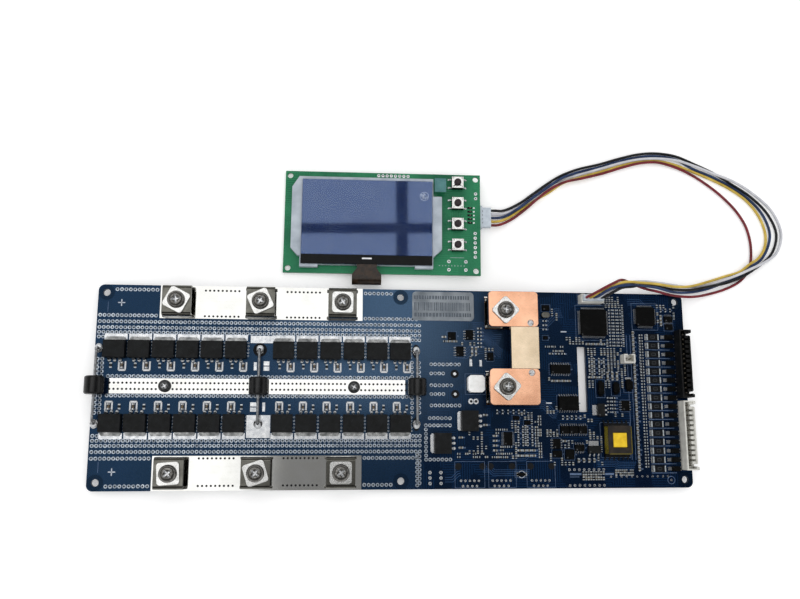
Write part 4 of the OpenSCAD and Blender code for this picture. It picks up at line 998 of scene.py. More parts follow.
class BOARD_OT_finish(bpy.types.Operator):
    """Give every CAD node its material, and round the edges that catch the light"""

    bl_idname = "board.finish"
    bl_label = "Finishes"

    # nodes that keep their shape
    plain = {
        "main_board": "mask_blue", "tinned_strips": "tinned", "strip_nuts": "zinc",
        "shunt_sense_pins": "solder", "ic_leads": "lead_tin", "balance_tabs": "lead_tin",
        "header_pins": "gold", "serial_label": "label_foil", "display_board": "mask_green",
        "display_seal": "seal_black", "display_flex": "flex_brown",
        "switch_terminals": "lead_tin", "surge_diode_leads": "lead_tin",
    }
    # nodes whose edges are rounded, and by what width
    rounded = {
        "transistor_cases": ("moulding", 0.25), "terminal_brackets": ("nickel", 0.15),
        "nut_plates": ("zinc", 0.2), "square_washers": ("zinc", 0.15),
        "surge_diode_bodies": ("diode_resin", 0.9), "shunt_copper_ends": ("copper", 0.25),
        "shunt_alloy_strip": ("alloy", 0.1), "processor_case": ("chip_case", 0.12),
        "monitor_case": ("chip_case", 0.12), "small_ic_cases": ("chip_case", 0.12),
        "balance_transistors": ("chip_case", 0.12), "black_header": ("header_black", 0.1),
        "white_header": ("header_white", 0.1), "display_header": ("header_white", 0.1),
        "probe_header": ("header_white", 0.1), "transformer_core": ("ferrite", 0.25),
        "transformer_winding": ("tape_yellow", 0.3), "transformer_bobbin": ("moulding", 0.1),
        "power_diodes": ("chip_case", 0.2), "crystal": ("nickel", 0.25),
        "power_choke": ("choke_top", 0.25), "backlight_frame": ("frame_pale", 0.2),
        "switch_bases": ("moulding", 0.1), "switch_covers": ("zinc", 0.06),
        "side_socket": ("socket_white", 0.1), "board_plug": ("socket_white", 0.1),
        "display_plug": ("socket_white", 0.1),
    }

    def execute(self, context):
        for node, finish in self.plain.items():
            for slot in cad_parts[node].material_slots:
                slot.material = FINISH[finish]
        for node, (finish, width) in self.rounded.items():
            soften(node, width, finish)
        for i in range(1, 5):
            soften(f"button_{i}", 0.3, "button_brown", body=f"button_{i}_cap")
        # the middle finish paints shade on the short leads of the row transistors
        finishes = ("tab_tin", "lead_dark", "pad_tin")
        soften("transistor_leadframes", 0, *finishes, pick=self.lead_finish)
        return {"FINISHED"}

    @staticmethod
    def lead_finish(centre):
        """Bright on the two charge transistors; on the rows, tabs, and leads in a darker copy of
        the metal that paints the shade they lie in.
        """
        return 2 if centre.x > 10 else int(abs(centre.y) < 14.2)


class BOARD_OT_screws(bpy.types.Operator):
    """Make the domed screw heads with their cross recesses, and the solder of the diodes"""

    bl_idname = "board.screws"
    bl_label = "Screws and joints"

    # solder on the feet of the transistors, and the bright flow beside each cone
    drop = ((0.78, 0), (0.76, 0.4), (0.62, 0.75), (0.4, 0.92), (0, 0.97))
    flow = ((1.6, 0), (1.5, 0.2), (1.1, 0.38), (0.6, 0.45), (0, 0.47))

    def execute(self, context):
        angles = [math.radians(a) for a in (8, 60, 34, 39, 53, 35, 80, 85)]
        self.heads("terminal_screws", "head_steel", angles)
        self.heads("strip_screws", "dark_steel", [0.6, 1.0])
        self.cones()
        self.drops()
        return {"FINISHED"}

    def heads(self, node, finish, angles):
        bm = bmesh.new()
        for screw, turn in zip(solids(node), angles):
            radius, height = screw.size.x / 2, screw.size.x * 0.31
            head = self.head(radius, height, screw.size.z - height)
            stamp(bm, head, screw.middle.x, screw.middle.y, screw.high.z - height, turn)
        # the second finish, bright solder, paints a highlight on the walls of each cross recess
        add_piece(f"{node}_domed", bm, finish, "solder", node=node)

    def head(self, radius, height, shank):
        """Pan head on z = 0 with a cross recess; the walls of the recess are material 1, the
        bright solder finish, a painted highlight.
        """
        dome = (
            (0.96, 0), (1, 0.1), (1, 0.38), (0.93, 0.68), (0.8, 0.87), (0.66, 0.97), (0.5, 1),
            (0, 1),
        )
        profile = [
            (0, -shank), (radius * 0.42, -shank), (radius * 0.475, -shank + 0.4),
            (radius * 0.475, 0), *((radius * r, height * z) for r, z in dome),
        ]
        body = turned_shape(profile, 32, smooth=50)
        cutters = []
        for turn in (0, math.pi / 2):
            bm = bmesh.new()
            bmesh.ops.create_cube(bm, size=1)
            bmesh.ops.scale(bm, vec=(radius * 1.55, radius * 0.34, height * 1.5), verts=bm.verts)
            low = [v for v in bm.verts if v.co.z < 0]
            bmesh.ops.scale(bm, vec=(0.4, 0.5, 1), verts=low)
            bmesh.ops.translate(bm, vec=(0, 0, height * 1.15), verts=bm.verts)
            turned = Matrix.Rotation(turn, 3, "Z")
            bmesh.ops.rotate(bm, verts=bm.verts, cent=(0, 0, 0), matrix=turned)
            # recess walls: bright solder finish, a painted highlight where they would catch the
            # light
            for face in bm.faces:
                face.material_index = 1
            cutters.append(shape(bm, 30))
        for mesh in (body, *cutters):
            mesh.materials.append(FINISH["head_steel"])
            mesh.materials.append(FINISH["solder"])
        return carved(body, *cutters)

    def cones(self):
        """Smooth cones of solder that climb the leads of the surge diodes."""
        slope = (
            (1, 0), (0.98, 0.24), (0.9, 0.4), (0.76, 0.47), (0.34, 0.52), (0.27, 0.7),
            (0.22, 1), (0, 1),
        )
        bm = bmesh.new()
        for joint in solids("solder_joints"):
            profile = [(r * joint.size.x / 2, z * joint.size.z) for r, z in slope]
            cone = turned_shape(profile, 28, smooth=70)
            stamp(bm, cone, joint.middle.x, joint.middle.y, joint.low.z)
        add_piece("solder_cones", bm, "solder", node="solder_joints")

    def drops(self):
        bm = bmesh.new()
        drop = turned_shape(self.drop, 14, smooth=70)
        flow = turned_shape(self.flow, 20, smooth=70)
        for case in solids("transistor_cases"):
            middle, size = case.middle, case.size
            for along in (-LEAD_PITCH, 0, LEAD_PITCH):
                if in_row(case):
                    y = middle.y - math.copysign(size.y / 2 + 0.95, middle.y)
                    stamp(bm, drop, middle.x + along, y, board_top() + 0.15)
                elif size.z > 4 and size.y > 8:
                    stamp(bm, drop, case.high.x + 1.5, middle.y + along, board_top())
        for joint in solids("solder_joints"):
            y = joint.middle.y + math.copysign(0.75, joint.middle.y)
            stamp(bm, flow, joint.middle.x, y, joint.low.z + joint.size.z * 0.42)
        add_piece("solder_drops", bm, "solder_bright", slot="tin")


class BOARD_OT_chips(bpy.types.Operator):
    """Make the chip parts with their metal ends, and the diodes beside the transistors"""

    bl_idname = "board.chips"
    bl_label = "Chip parts"

    # finish, and how much longer than usual the metal ends are
    kinds = {
        "chip_resistors": ("chip_glaze", 1), "chip_capacitors": ("chip_tan", 1),
        "gate_resistors": ("chip_glaze", 1), "balance_resistors": ("chip_glaze", 1.6),
    }

    def execute(self, context):
        cap = context.scene.board_parts.chip_cap
        for node, (finish, factor) in self.kinds.items():
            bm, shapes = bmesh.new(), {}
            for chip in solids(node):
                width, depth, height = chip.size
                key = (round(max(width, depth), 2), round(min(width, depth), 2), round(height, 2))
                if key not in shapes:
                    shapes[key] = chip_shape(*key, cap * factor)
                turn = math.pi / 2 if depth > width else 0
                stamp(bm, shapes[key], chip.middle.x, chip.middle.y, chip.low.z, turn)
            add_piece(f"{node}_detailed", bm, finish, "chip_end", node=node)
        self.diodes()
        return {"FINISHED"}

    def diodes(self):
        """Glass diodes with metal ends, lying along Y."""
        found = solids("clamp_diodes")
        radius, half = found[0].size.x / 2, found[0].size.y / 2
        # radius, and distance from the end
        side = ((0, 0), (0.85, 0), (1, 0.12), (1, 0.9), (0.86, 0.95))
        profile = [(radius * r, from_end - half) for r, from_end in side]
        profile += [(r, -y) for r, y in reversed(profile)]
        small = turned_shape(profile, 14, axis=(0, 1, 0))
        for face in small.polygons:
            face.material_index = int(abs(face.center.y) > half - 0.97)
        bm = bmesh.new()
        for diode in found:
            stamp(bm, small, *diode.middle)
        add_piece("clamp_diodes_detailed", bm, "diode_glass", "solder", node="clamp_diodes")


class BOARD_OT_small_parts(bpy.types.Operator):
    """Fill the free places of the control section with the smallest chip parts and tracks"""

    bl_idname = "board.small_parts"
    bl_label = "Smallest parts"

    # x and y from, x and y to, spacing along x and y, share of the places that are taken, and
    # whether the length lies along y
    fields = (
        (31.5, 15.2, 39, 29, 2.1, 2.4, 0.5, True), (43.6, 15.4, 47.4, 19.6, 1.8, 2.1, 0.8, True),
        (22.5, 23.6, 29.5, 28.8, 1.9, 2, 0.45, False),
        (34.5, -32, 43.6, -22, 2.1, 2.3, 0.6, True), (29, -34.4, 43.5, -32.8, 2, 1.6, 0.4, False),
        (46.6, -34.5, 57, -20.5, 2.2, 1.7, 0.6, False),
        (56.5, -34.5, 68.2, -12.8, 1.7, 2.15, 0.85, True),
        (69, -34.5, 70.8, -14, 1.7, 1.35, 0.9, False), (75, -12, 86, -8.6, 1.6, 2.1, 0.7, True),
        (75.6, 17, 84.6, 21.5, 2, 2.2, 0.65, False), (74.5, 36, 84, 40.5, 2.3, 2.2, 0.55, True),
        (86.4, 23.6, 103.8, 25.8, 1.7, 2.1, 0.8, True),
        (104.6, 22.6, 118.2, 44.6, 1.75, 2.05, 0.88, True),
        (97.6, 1.2, 117.4, 21.2, 1.75, 2.1, 0.82, True),
        (103.5, -15.6, 117.6, -5.2, 1.8, 2.1, 0.72, True),
        (89, -16.2, 102, -12.6, 1.8, 2.1, 0.6, True),
        (76, -37.8, 103, -22.4, 1.9, 2.15, 0.7, True), (136, 33.4, 145, 43.6, 1.8, 2, 0.6, True),
        (96.8, 45.2, 116, 47.4, 1.5, 2.1, 0.85, True), (74.8, 4.8, 84, 6.6, 1.6, 1.9, 0.8, True),
        (74.6, -23.6, 98, -21.4, 1.7, 2, 0.85, True),
        (92.6, -45.2, 103, -42.2, 1.3, 1.35, 0.95, True),
        (109.6, -43, 118.6, -40.9, 1.1, 1.35, 0.95, True),
    )
    # bundles of tracks: start x, y, count, spacing, run, rise and run again
    bundles = (
        (37, 28, 6, 0.9, 3.5, -6, 4), (40, 24, 5, 0.8, 2.5, -8, 1), (29, 15, 4, 1, 5, 2.5, 6),
        (41, -41.8, 4, 0.8, 3.4, -1.8, 18), (22, -46.5, 3, 0.9, 4, 3, 1),
        (55, -36.3, 4, 0.8, 8, 1.6, 8), (71, -10, 5, 0.8, 1.6, -5, 2),
        (120, 44, 4, 0.8, 6, -3, 9), (76, 8, 3, 0.9, 6, 3, 4), (100, -39.2, 5, 0.7, 9, -1.4, 9),
        (72, 31, 5, 0.9, 4, 6, 3), (31, -20, 4, 0.9, 2.5, 4, 4),
    )
    skipped = (
        "main_board", "display_", "backlight", "button", "switch", "side_socket", "wire",
        "board_plug",
    )

    def execute(self, context):
        taken = []
        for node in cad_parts:
            if not node.startswith(self.skipped):
                boxes = [(*part.low.xy, *part.high.xy) for part in solids(node)]
                taken += [box for box in boxes if box[2] > CONTROL_FROM and box[2] - box[0] < 40]
        x_low, y_low, x_high, y_high = np.array(taken).T
        random = np.random.default_rng(11)
        cap = context.scene.board_parts.chip_cap
        kinds = [
            (chip_shape(1.6, 0.9, 0.45, cap, 0.04), bmesh.new(), "chip_glaze", "chip_black"),
            (chip_shape(1.6, 0.9, 0.6, cap, 0.04), bmesh.new(), "chip_tan", "chip_tan"),
        ]
        for x0, y0, x1, y1, step_x, step_y, share, upright in self.fields:
            reach = (0.65, 1.0) if upright else (1.0, 0.65)
            for i in range(int((x1 - x0) / step_x) + 1):
                for j in range(int((y1 - y0) / step_y) + 1):
                    x, y = x0 + i * step_x, y0 + j * step_y
                    pick, kind = random.random(), int(random.random() < 0.4)
                    beside = np.maximum(x_low - x, x - x_high) > reach[0]
                    beyond = np.maximum(y_low - y, y - y_high) > reach[1]
                    if pick <= share and np.all(beside | beyond):
                        small, bm, *_ = kinds[kind]
                        stamp(bm, small, x, y, board_top(), math.pi / 2 * upright)
        for _, bm, finish, slot in kinds:
            add_piece(f"smallest_{finish}", bm, finish, "chip_end", slot=slot)
        self.tracks()
        return {"FINISHED"}

    def tracks(self):
        tracks = Print(board_top() + LIFT["tracks"])
        width = 0.24
        for x, y, count, spacing, run, rise, last in self.bundles:
            for i in range(count):
                up, slant = y + i * spacing * 1.2, abs(rise)
                bend = x + run + i * spacing * 0.4 * math.copysign(1, -rise)
                tracks.line(x, up, bend, up, width)
                tracks.line(bend, up, bend + slant, up + rise, width)
                tracks.line(bend + slant, up + rise, bend + slant + last, up + rise, width)
        tracks.piece("tracks", "track", slot="board_blue")


class BOARD_OT_vias(bpy.types.Operator):
    """Make the rings of the vias on both faces of the power board, and on its top their holes as
    dark discs of painted shade
    """

    bl_idname = "board.vias"
    bl_label = "Vias"

    # rows on both halves of the power section: from x, from y, to x, to y
    mirrored = (
        (-141, 47.7, -121.7, 47.7), (-18, 47.7, -5, 47.7), (-148.5, 34.7, -121.7, 34.7),
        (-18, 34.7, 8, 34.7), (-148.5, 31.6, 9.5, 31.6), (-148.5, 28.7, 9.5, 28.7),
        (-148.5, 26.3, 9.5, 26.3), (-148.5, 24, -146.5, 24), (6, 24, 9.5, 24),
        (-143, 4.7, 5, 4.7), (-148.4, 5, -148.4, 13), (-146.2, 5, -146.2, 13),
        (5.7, 5.5, 5.7, 12.5), (9.3, 5.5, 9.3, 12.5),
    )
    # rows of the control section
    single = (
        (15.5, 11.8, 29.8, 11.8), (15.5, 7.2, 21.6, 7.2), (15.5, 1.2, 25.7, 1.2),
        (15.5, -3.2, 21.6, -3.2), (15.5, -8.9, 29.8, -8.9), (14.6, -15.2, 24.8, -15.2),
        (12.6, -18.8, 24.8, -18.8), (12.6, -20.8, 12.6, -33.6), (12.6, -35.6, 24.8, -35.6),
        (8.1, -33, 8.1, -48), (9.3, -34, 9.3, -47),
    )
    strip_holes = (
        (-98, 47.7, -81.5, 47.7), (-98, 34.7, -81.5, 34.7), (-57.5, 47.7, -41.2, 47.7),
        (-57.5, 34.7, -41.2, 34.7), (-142, 1.5, -118, 1.5), (-114, 1.5, -76, 1.5),
        (-64, 1.5, -28, 1.5), (-24, 1.5, 2.5, 1.5),
    )

    def places(self, rows, pitch):
        for x0, y0, x1, y1 in rows:
            count = round(math.hypot(x1 - x0, y1 - y0) / pitch)
            for i in range(count + 1):
                part = i / max(count, 1)
                yield x0 + (x1 - x0) * part, y0 + (y1 - y0) * part

    def both(self, rows, pitch):
        """Places of the rows on both halves of the power section."""
        return [(x, side * y) for x, y in self.places(rows, pitch) for side in (-1, 1)]

    def execute(self, context):
        settings = context.scene.board_print
        pitch, outer, hole = settings.via_pitch, settings.via_outer / 2, settings.via_hole / 2
        found = self.both(self.mirrored, pitch) + list(self.places(self.single, pitch))
        # short rows of smaller vias in the gaps between the transistors of the two rows
        cases = [case for case in solids("transistor_cases") if in_row(case)]
        gaps = sorted({round(case.high.x, 1) + 0.72 for case in cases})
        narrow = self.both([(x, 15, x, 21.6) for x in gaps], 1.6)
        for name, places, ring, dot in (
            ("via_rings", found, outer, hole),
            ("via_rings_narrow", narrow, outer * 0.52, hole * 0.55),
        ):
            rings, holes = (Print(board_top() + LIFT[kind]) for kind in ("rings", "holes"))
            for x, y in places:
                rings.put(ring_shape, (ring, dot), x, y)
                # dark disc under each ring: painted shade in the via's hole
                holes.put(disc_shape, (ring * 0.8,), x, y)
            rings.piece(name, "via_tin", slot="tin")
            holes.piece(f"{name}_holes", "hole_dark", slot="case_black")
        # dark dots on the tinned strips: painted shade in their holes
        dots = Print(whole("tinned_strips").high.z + 0.02)
        for x, y in self.both(self.strip_holes, pitch):
            dots.put(disc_shape, (0.55, 12), x, y)
        dots.piece("strip_holes", "hole_dark", slot="case_black")
        under = Print(-LIFT["rings"], under=True)
        for x, y in found:
            under.put(ring_shape, (outer, hole), x, y)
        under.piece("via_rings_under", "via_tin", slot="tin")
        return {"FINISHED"}


class BOARD_OT_pads(bpy.types.Operator):
    """Make the bare tinned pads and bands, and the dark spots, on the power board"""

    bl_idname = "board.pads"
    bl_label = "Pads"

    # middle, width and depth of each pad; the split ones are in two halves
    pads = (
        (35.9, 12.7, 1.3, 3.4), (41, 12.6, 1.2, 3.2), (-72.5, 10, 1.4, 4), (-67.8, -10, 1.3, 4.4),
        (-69.6, 23.4, 11, 3.6), (-70.2, -19.5, 11.5, 11), (118.3, 5.4, 3, 0.9),
        (58.6, -43, 0.9, 1.6), (63, -43, 0.9, 1.6),
    )
    split_pads = ((-67, 10.2, 2.8, 4.8), (-72.9, -10, 3, 4.6))
    # dots of round joints: from x, y to x, y, count, radius
    dots = (
        (20, -41.9, 20, -47.2, 3, 0.85), (14.5, -41.9, 14.5, -47.2, 3, 0.85),
        (30, -46, 39, -46, 5, 0.6), (31, -48.6, 38, -48.6, 4, 0.6), (46, -46, 55, -46, 5, 0.6),
        (47, -48.6, 54, -48.6, 4, 0.6), (66, -46, 75, -46, 5, 0.6),
        (67, -48.6, 74, -48.6, 4, 0.6), (85.5, -40.8, 103.3, -40.8, 8, 0.7),
        (85.5, -48.6, 103.3, -48.6, 8, 0.7), (107, -44.3, 137, -44.3, 12, 0.55),
        (125.3, 27, 125.3, 7.5, 14, 0.3),
    )
    # dark discs: six large ones, the middles of the ringed joints, and the rounds under the
    # filled joints
    pegs = ((28.7, -39), (41, -39), (45, -39), (56, -39), (65.5, -39), (76.3, -39))
    ringed = ((35.7, -6.8), (38.2, -6.8))
    filled = ((27.5, 7), (27.7, -3.2))

    def execute(self, context):
        metal, dark = (Print(board_top() + LIFT[kind]) for kind in ("metal", "dark"))
        for pad in self.pads:
            metal.bar(*pad)
        for x, y, width, depth in self.split_pads:
            for side in (-1, 1):
                metal.bar(x, y + side * (depth / 4 + 0.1), width, depth / 2 - 0.3)
        for x0, y0, x1, y1, count, radius in self.dots:
            for part in np.linspace(0, 1, count):
                place = x0 + (x1 - x0) * part, y0 + (y1 - y0) * part
                metal.put(ring_shape, (radius, radius * 0.35), *place)
        for place in self.pegs:
            dark.put(disc_shape, (1.7, 20), *place)
        for place in self.ringed:
            metal.put(ring_shape, (1.4, 0.7), *place)
            dark.put(disc_shape, (0.7,), *place)
        metal.put(disc_shape, (0.6,), 138.6, -46.2)
        for place in self.filled:
            dark.put(disc_shape, (2.1, 24), *place)
            metal.put(disc_shape, (0.8,), *place)
        for joint in solids("solder_joints"):
            x, y = joint.middle.xy
            if x > -100:
                dark.put(oval_shape, (3.8, 7) if x > 0 else (6.8, 6.8), x, y)
        self.feet(metal)
        metal.piece("bare_pads", "pad_tin", slot="tin")
        dark.piece("dark_spots", "hole_dark", slot="case_black")
        return {"FINISHED"}

    def feet(self, metal):
        """Pads under the leads of the transistors and at the ends of the chip parts."""
        for case in solids("transistor_cases"):
            if in_row(case):
                metal.bar(case.middle.x, math.copysign(24.1, case.middle.y), 10.9, 2.9)
        for chip in solids("balance_resistors"):
            metal.bar(chip.low.x - 0.1, chip.middle.y, 1.7, chip.size.y)
        for node in BOARD_OT_chips.kinds:
            for chip in solids(node):
                width, depth = chip.size.xy
                if width >= depth:
                    metal.bar(*chip.middle.xy, width + 0.5, depth * 0.9)
                else:
                    metal.bar(*chip.middle.xy, width * 0.9, depth + 0.5)


class BOARD_OT_ink(bpy.types.Operator):
    """Print the outlines and marks on the power board"""

    bl_idname = "board.ink"
    bl_label = "Printed marks"

    # nodes with a printed frame, and how far it stands off
    framed = {
        "small_ic_cases": 0.5, "power_choke": 0.9, "transformer_core": 1.6,
        "power_diodes": 0.7, "display_header": 0.4, "probe_header": 0.4,
        "processor_case": 2.2, "monitor_case": 2,
    }

    def execute(self, context):
        line = context.scene.board_print.line
        surrounds, ink, faint, frames = (
            Print(board_top() + LIFT[kind]) for kind in ("surrounds", "ink", "faint", "frames")
        )
        for x in (-146, 0, 146):
            for side in (-1, 1):
                surrounds.put(ring_shape, (3.85, 1.75, 40), x, side * 46)
        for side in (-1, 1):
            faint.line(-145, side * 41.3, -145, side * 36.2, line)
            ink.bar(-138.6, side * 41, 3.4, 0.5)
            ink.bar(-138.6, side * 41, 0.5, 3.4)
        ink.bar(85, 29.3, 3, 0.6)
        ink.bar(76, -7.5, 3, 0.6)
        for node, gap in self.framed.items():
            for part in solids(node):
                (x0, y0), (x1, y1) = part.low.xy, part.high.xy
                faint.outline(x0 - gap, y0 - gap, x1 + gap, y1 + gap, line * 0.8)
        for diode in solids("clamp_diodes"):
            self.bracket(frames, diode, 0.75)
        for chip in solids("balance_resistors"):
            x, y = chip.low.x, chip.low.y - 0.55
            faint.line(x - 0.8, y, x + 12.5, y, line * 1.4)
        for x in (118.5, 120.5):
            faint.line(x, -36, x, 28, line)
        for x0, x1 in ((27, 42), (44, 58), (63.5, 78)):
            faint.outline(x0, -49.4, x1, -36.6, line * 0.7)
        for bar in ((88.6, -43, 6, 1), (106.2, -43, 4.6, 1), (88, -44.4, 4.8, 0.25)):
            faint.bar(*bar)
        ink.put(ring_shape, (1.8, 1.55, 24), 60.8, -43)
        faint.put(ring_shape, (2, 1.75, 28), 138.6, -46.2)
        self.ticks(faint)
        surrounds.piece("hole_surrounds", "mask_bare", slot="board_blue")
        frames.piece("diode_frames", "ink_white", slot="choke_white")
        ink.piece("printed_marks", "ink", slot="choke_white")
        faint.piece("printed_outlines", "ink_faint", slot="choke_white")
        return {"FINISHED"}

    def bracket(self, ink, part, line):
        """Frame round a small diode, open towards the transistor."""
        side = math.copysign(1, part.middle.y)
        x0, x1 = part.low.x - 0.75, part.high.x + 0.75
        near = part.middle.y - side * (part.size.y / 2 + 0.6)
        far = part.middle.y + side * (part.size.y / 2 + 0.3)
        ink.line(x0, near, x1, near, line * 1.2)
        ink.line(x0, near, x0, far, line)
        ink.line(x1, near, x1, far, line)

    def ticks(self, ink):
        """Short plain strokes beside the chip parts, in place of their numbers."""
        random = np.random.default_rng(7)
        for node in ("chip_resistors", "chip_capacitors", "small_ic_cases"):
            for chip in solids(node):
                if not 124 < chip.high.x < 130:
                    for i in range(int(random.integers(1, 4))):
                        y = chip.middle.y + random.uniform(-0.15, 0.15)
                        ink.bar(chip.high.x + 0.57 + i * 0.42, y, 0.26, 0.75)


class BOARD_OT_marks(bpy.types.Operator):
    """Make the moulding marks on the cases, the tape, the ribs and the bars on the label"""

    bl_idname = "board.marks"
    bl_label = "Moulding marks"

    # rows of bars on the label: middle over its lower edge, height, widths and gaps
    rows = (
        (7.3, 4.3, (0.25, 0.4, 0.65), (0.2, 0.28, 0.4)), (12, 1.9, (0.7, 1.1), (0.35, 0.5)),
        (3, 2, (0.9, 1.3), (0.3, 0.45)),
    )

    def execute(self, context):
        bm = bmesh.new()
        dot = turned_shape(((0, 0.01), (0.28, 0.01), (0.36, 0)), 14)
        for node in ("transistor_cases", "processor_case", "monitor_case", "small_ic_cases"):
            for case in solids(node):
                if case.size.z < 2.4 and min(case.size.xy) > 2.5:
                    stamp(bm, dot, case.low.x + 0.9, case.low.y + 0.8, case.high.z)
        add_piece("moulding_marks", bm, "mark_grey", slot="case_black")
        self.label()
        self.tape()
        self.resistor_tops()
        self.ribs()
        return {"FINISHED"}

    def tape(self):
        """Band of tape over the left side of the transformer, and strips on its edges."""
        core = whole("transformer_core")
        low, high, middle, size = core.low, core.high, core.middle, core.size
        upright = Matrix.Translation((low.x - 0.04, middle.y, middle.z))
        side = Print(0, upright @ Matrix.Rotation(-math.pi / 2, 4, "Y"))
        side.bar(0.1, 0, size.z - 0.5, size.y - 0.8)
        side.piece("transformer_tape", "tape_olive", slot="tape_yellow")
        edges = Print(high.z + 0.03)
        edges.bar(middle.x, low.y + 0.35, size.x - 0.9, 0.3)
        edges.bar(high.x - 0.35, middle.y, 0.3, size.y - 0.9)
        edges.piece("transformer_tape_edges", "tape_olive", slot="tape_yellow")

    def resistor_tops(self):
        """Pale rectangle round the field where a balancing resistor has its value."""
        tops = Print(whole("balance_resistors").high.z + 0.015)
        for chip in solids("balance_resistors"):
            x, y = chip.middle.xy
            tops.outline(x - 1, y - 0.6, x + 1, y + 0.6, 0.22)
        tops.piece("resistor_tops", "mark_grey", slot="chip_black")

    def ribs(self):
        """Ribs between the contacts of the two upright headers."""
        for colour in ("white", "black"):
            header, bm = whole(f"{colour}_header"), bmesh.new()
            low, high = header.low, header.high
            rib = block_shape(2.6, 1.5, 3.4, 0.12)
            for pin in solids("header_pins"):
                x, y = pin.middle.xy
                if low.x < x < high.x and low.y < y < high.y:
                    stamp(bm, rib, high.x - 1.95, y + 1.25, high.z - 4.1)
            add_piece(f"{colour}_header_ribs", bm, f"header_{colour}", slot=f"header_{colour}")

    def label(self):
        paper = whole("serial_label")
        ink = Print(paper.high.z + 0.012)
        random = np.random.default_rng(3)
        for up, depth, widths, gaps in self.rows:
            x = paper.low.x + 1
            while x < paper.high.x - 2.2:
                width = float(random.choice(widths))
                ink.bar(round(x + width / 2, 3), paper.low.y + up, width, depth)
                x += width + float(random.choice(gaps))
        ink.piece("label_bars", "label_ink", slot="header_black")


class BOARD_OT_display(bpy.types.Operator):
    """Dress the display unit: glass, film, pads and printed marks"""

    bl_idname = "board.display"
    bl_label = "Display unit"

    # heights over the display board's face
    glass_top = 4.4
    ledge_top = 4.1
    # outline of the film, and of the tab on its right
    film_edge = (
        (9.6, 9.2), (76.2, 9.2), (76.6, 20), (78.6, 30), (79.4, 38), (79.2, 42.6), (83.4, 43.1),
        (83.7, 44), (83.6, 50.4), (82.9, 51), (77.6, 51.2), (76.4, 49.8), (74, 48.8), (9.6, 48.6),
    )
    tab = (80.6, 46.9, 6, 7.4)
    bubble = (72.2, 40.6)
    # ringed pads
    rings = (
        *((99.2, 9.8 + i * LEAD_PITCH) for i in range(6)), (99.6, 43.94), (99.6, 41.4),
        *((48.5 + i * 2.2, 52.7) for i in range(8)),
    )
    wide_rings = ((85.4, 7.25), (85.4, 2.85), (94.2, 7.25), (94.2, 2.85))

    def execute(self, context):
        settings = context.scene.board_display
        turn = Matrix.Rotation(settings.turn, 4, "Z") @ Matrix.Rotation(-settings.tilt, 4, "Y")
        face = Matrix.Translation((0, 0, settings.thickness))
        self.local = Matrix.Translation(settings.place) @ turn @ face
        soften("display_glass", 0.08, "glass", segments=1)
        self.film()
        self.pads()
        self.plug_windows()
        return {"FINISHED"}

    def film(self):
        """Clear sheet with a wavy loose edge, a pull tab and a bubble of air."""
        bm = bmesh.new()
        bm.faces.new([bm.verts.new((u, v, 0)) for u, v in self.film_edge])
        bevel(bm, bm.verts[:], 0.6, 3, "VERTICES")
        bmesh.ops.translate(bm, verts=bm.verts, vec=(0, 0, self.glass_top + 0.03))
        bmesh.ops.solidify(bm, geom=bm.faces[:], thickness=-0.1)
        bmesh.ops.transform(bm, matrix=self.local, verts=bm.verts)
        add_piece("film_sheet", bm, "film", node="display_film")
        tab = Print(self.glass_top + 0.06, self.local)
        tab.bar(*self.tab)
        tab.piece("film_tab", "film_tab", slot="film")
        air = Print(self.glass_top + 0.09, self.local)
        random = np.random.default_rng(5)
        u, v = self.bubble
        for i in range(26):
            angle, reach = random.uniform(0, 2 * math.pi), 1.7 * math.sqrt(random.uniform(0.1, 1))
            turn = round(random.uniform(0, 3.1), 1)
            x, y = u + reach * math.cos(angle), v + reach * math.sin(angle) * 0.85
            air.put(oval_shape, (1.1, 0.35), x, y, turn)
        air.put(ring_shape, (2.35, 2.15, 28), u, v)
        air.piece("film_bubble", "film_white", slot="film")
        mark = Print(self.ledge_top + 0.06, self.local)
        mark.bar(42.9, 7.1, 5, 0.75)
        mark.piece("ledge_mark", "ink_white", slot="choke_white")

    def pads(self):
        metal, dark, ink = (Print(z, self.local) for z in (0.03, 0.05, 0.03))
        for place in self.rings:
            metal.put(ring_shape, (0.85, 0.45), *place)
        for place in self.wide_rings:
            metal.put(ring_shape, (0.9, 0.5), *place)
        for i in range(4):
            for du in (-4.4, 4.4):
                for dv in (-2.2, 2.2):
                    metal.put(disc_shape, (0.5,), 89.8 + du, 15.6 + i * 11.15 + dv)
        for i in range(5):
            metal.put(disc_shape, (0.45,), 98.6, 28.2 + 2 * i)
            dark.bar(96.4, 28.2 + 2 * i, 2.4, 1.1)
        for i in range(9):
            ink.put(disc_shape, (0.22, 8), 80.5 + i * 1.6, 5)
        ink.line(86, 9.3, 93.4, 9.3, 0.15)
        metal.piece("display_pads", "pad_tin", slot="tin")
        dark.piece("display_dark_pads", "hole_dark", slot="case_black")
        ink.piece("display_marks", "ink", slot="choke_white")

    def plug_windows(self):
        """Dark openings over the contacts of the side socket: bars of painted shade where the
        openings would be dark inside.
        """
        plug = whole("display_plug")
        dark = Print(plug.high.z + 0.02)
        for i in range(1, 5):
            dark.bar(plug.middle.x - 0.6, plug.low.y + plug.size.y / 5 * i, 1.1, 0.8)
        dark.piece("plug_windows", "hole_dark", slot="case_black")


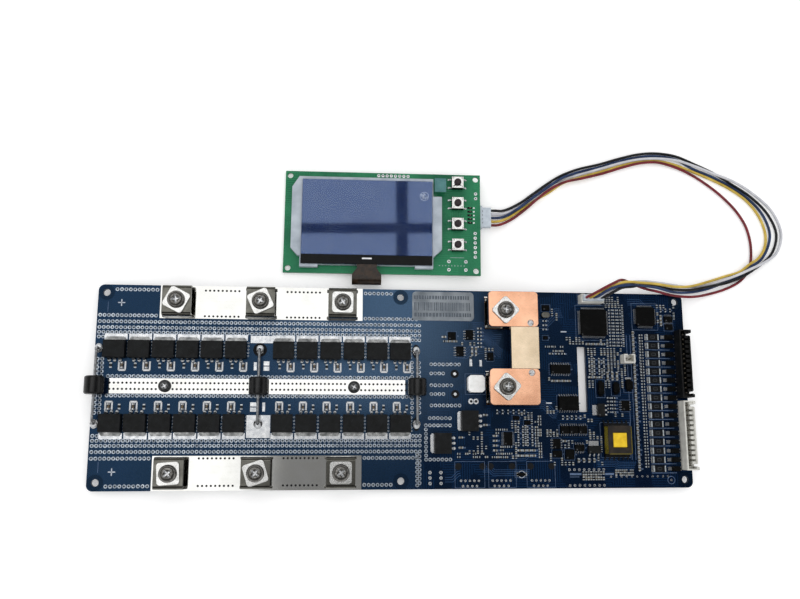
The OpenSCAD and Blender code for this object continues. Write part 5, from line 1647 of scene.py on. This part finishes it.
class BOARD_OT_underside(bpy.types.Operator):
    """Make the soldered joints round the tails under the power board, and its tinned bands"""

    bl_idname = "board.underside"
    bl_label = "Underside"

    def execute(self, context):
        bm = bmesh.new()
        tail = turned_shape(((1.0, 0), (0.85, -0.3), (0.5, -0.9), (0.42, -1.2)), 12)
        wire = turned_shape(((2.0, 0), (1.7, -0.5), (0.9, -1.5), (0.7, -1.8)), 16)
        leg = block_shape(3.6, 2.6, 0.9, 0.4)
        for pin in solids("header_pins"):
            if pin.size.z > 6 and pin.size.x < 1:
                stamp(bm, tail, *pin.middle.xy)
        for joint in solids("solder_joints"):
            stamp(bm, wire, *joint.middle.xy)
        for bracket in solids("terminal_brackets"):
            x, y = bracket.middle.xy
            reach_x, reach_y = bracket.size.x / 2 - 1.7, bracket.size.y / 2 - 0.6
            for sx in (-1, 1):
                for sy in (-1, 1):
                    stamp(bm, leg, x + sx * reach_x, y + sy * reach_y, -0.9)
        add_piece("joints_under", bm, "solder", slot="tin")
        bands = Print(-LIFT["rings"], under=True)
        for side in (-1, 1):
            bands.bar(-69.75, side * 41.75, 100.5, 16.5)
        bands.piece("bands_under", "tinned", slot="tin")
        return {"FINISHED"}


class BOARD_PT_panel(bpy.types.Panel):
    """Sizes of the board's pieces, and a button for each operator"""

    bl_label = "Battery Management Board"
    bl_idname = "BOARD_PT_panel"
    bl_space_type = "VIEW_3D"
    bl_region_type = "UI"
    bl_category = "Board"

    def draw(self, context):
        layout = self.layout
        for name, kind in SETTINGS.items():
            box = layout.box()
            box.label(text=kind.__doc__)
            for prop in kind.__annotations__:
                box.prop(getattr(context.scene, name), prop)
        for operator in OPERATORS:
            layout.operator(operator.bl_idname)


OPERATORS = (
    BOARD_OT_stage, BOARD_OT_finish, BOARD_OT_cable, BOARD_OT_screws, BOARD_OT_chips,
    BOARD_OT_small_parts, BOARD_OT_vias, BOARD_OT_pads, BOARD_OT_ink, BOARD_OT_marks,
    BOARD_OT_display, BOARD_OT_underside,
)
SETTINGS = {
    "board_stage": StageSettings, "board_print": PrintSettings, "board_parts": PartSettings,
    "board_display": DisplaySettings, "board_cable": CableSettings,
}


def register():
    for kind in (*SETTINGS.values(), *OPERATORS, BOARD_PT_panel):
        bpy.utils.register_class(kind)
    for name, kind in SETTINGS.items():
        setattr(bpy.types.Scene, name, PointerProperty(type=kind))


def unregister():
    for name in SETTINGS:
        delattr(bpy.types.Scene, name)
    for kind in (BOARD_PT_panel, *reversed(OPERATORS), *reversed(list(SETTINGS.values()))):
        bpy.utils.unregister_class(kind)


def main():
    register()
    make_finishes()
    bpy.ops.board.stage()
    bpy.ops.board.finish()
    bpy.ops.board.cable()
    bpy.ops.board.screws()
    bpy.ops.board.chips()
    bpy.ops.board.small_parts()
    bpy.ops.board.vias()
    bpy.ops.board.pads()
    bpy.ops.board.ink()
    bpy.ops.board.marks()
    bpy.ops.board.display()
    bpy.ops.board.underside()


if __name__ == "__main__":
    main()
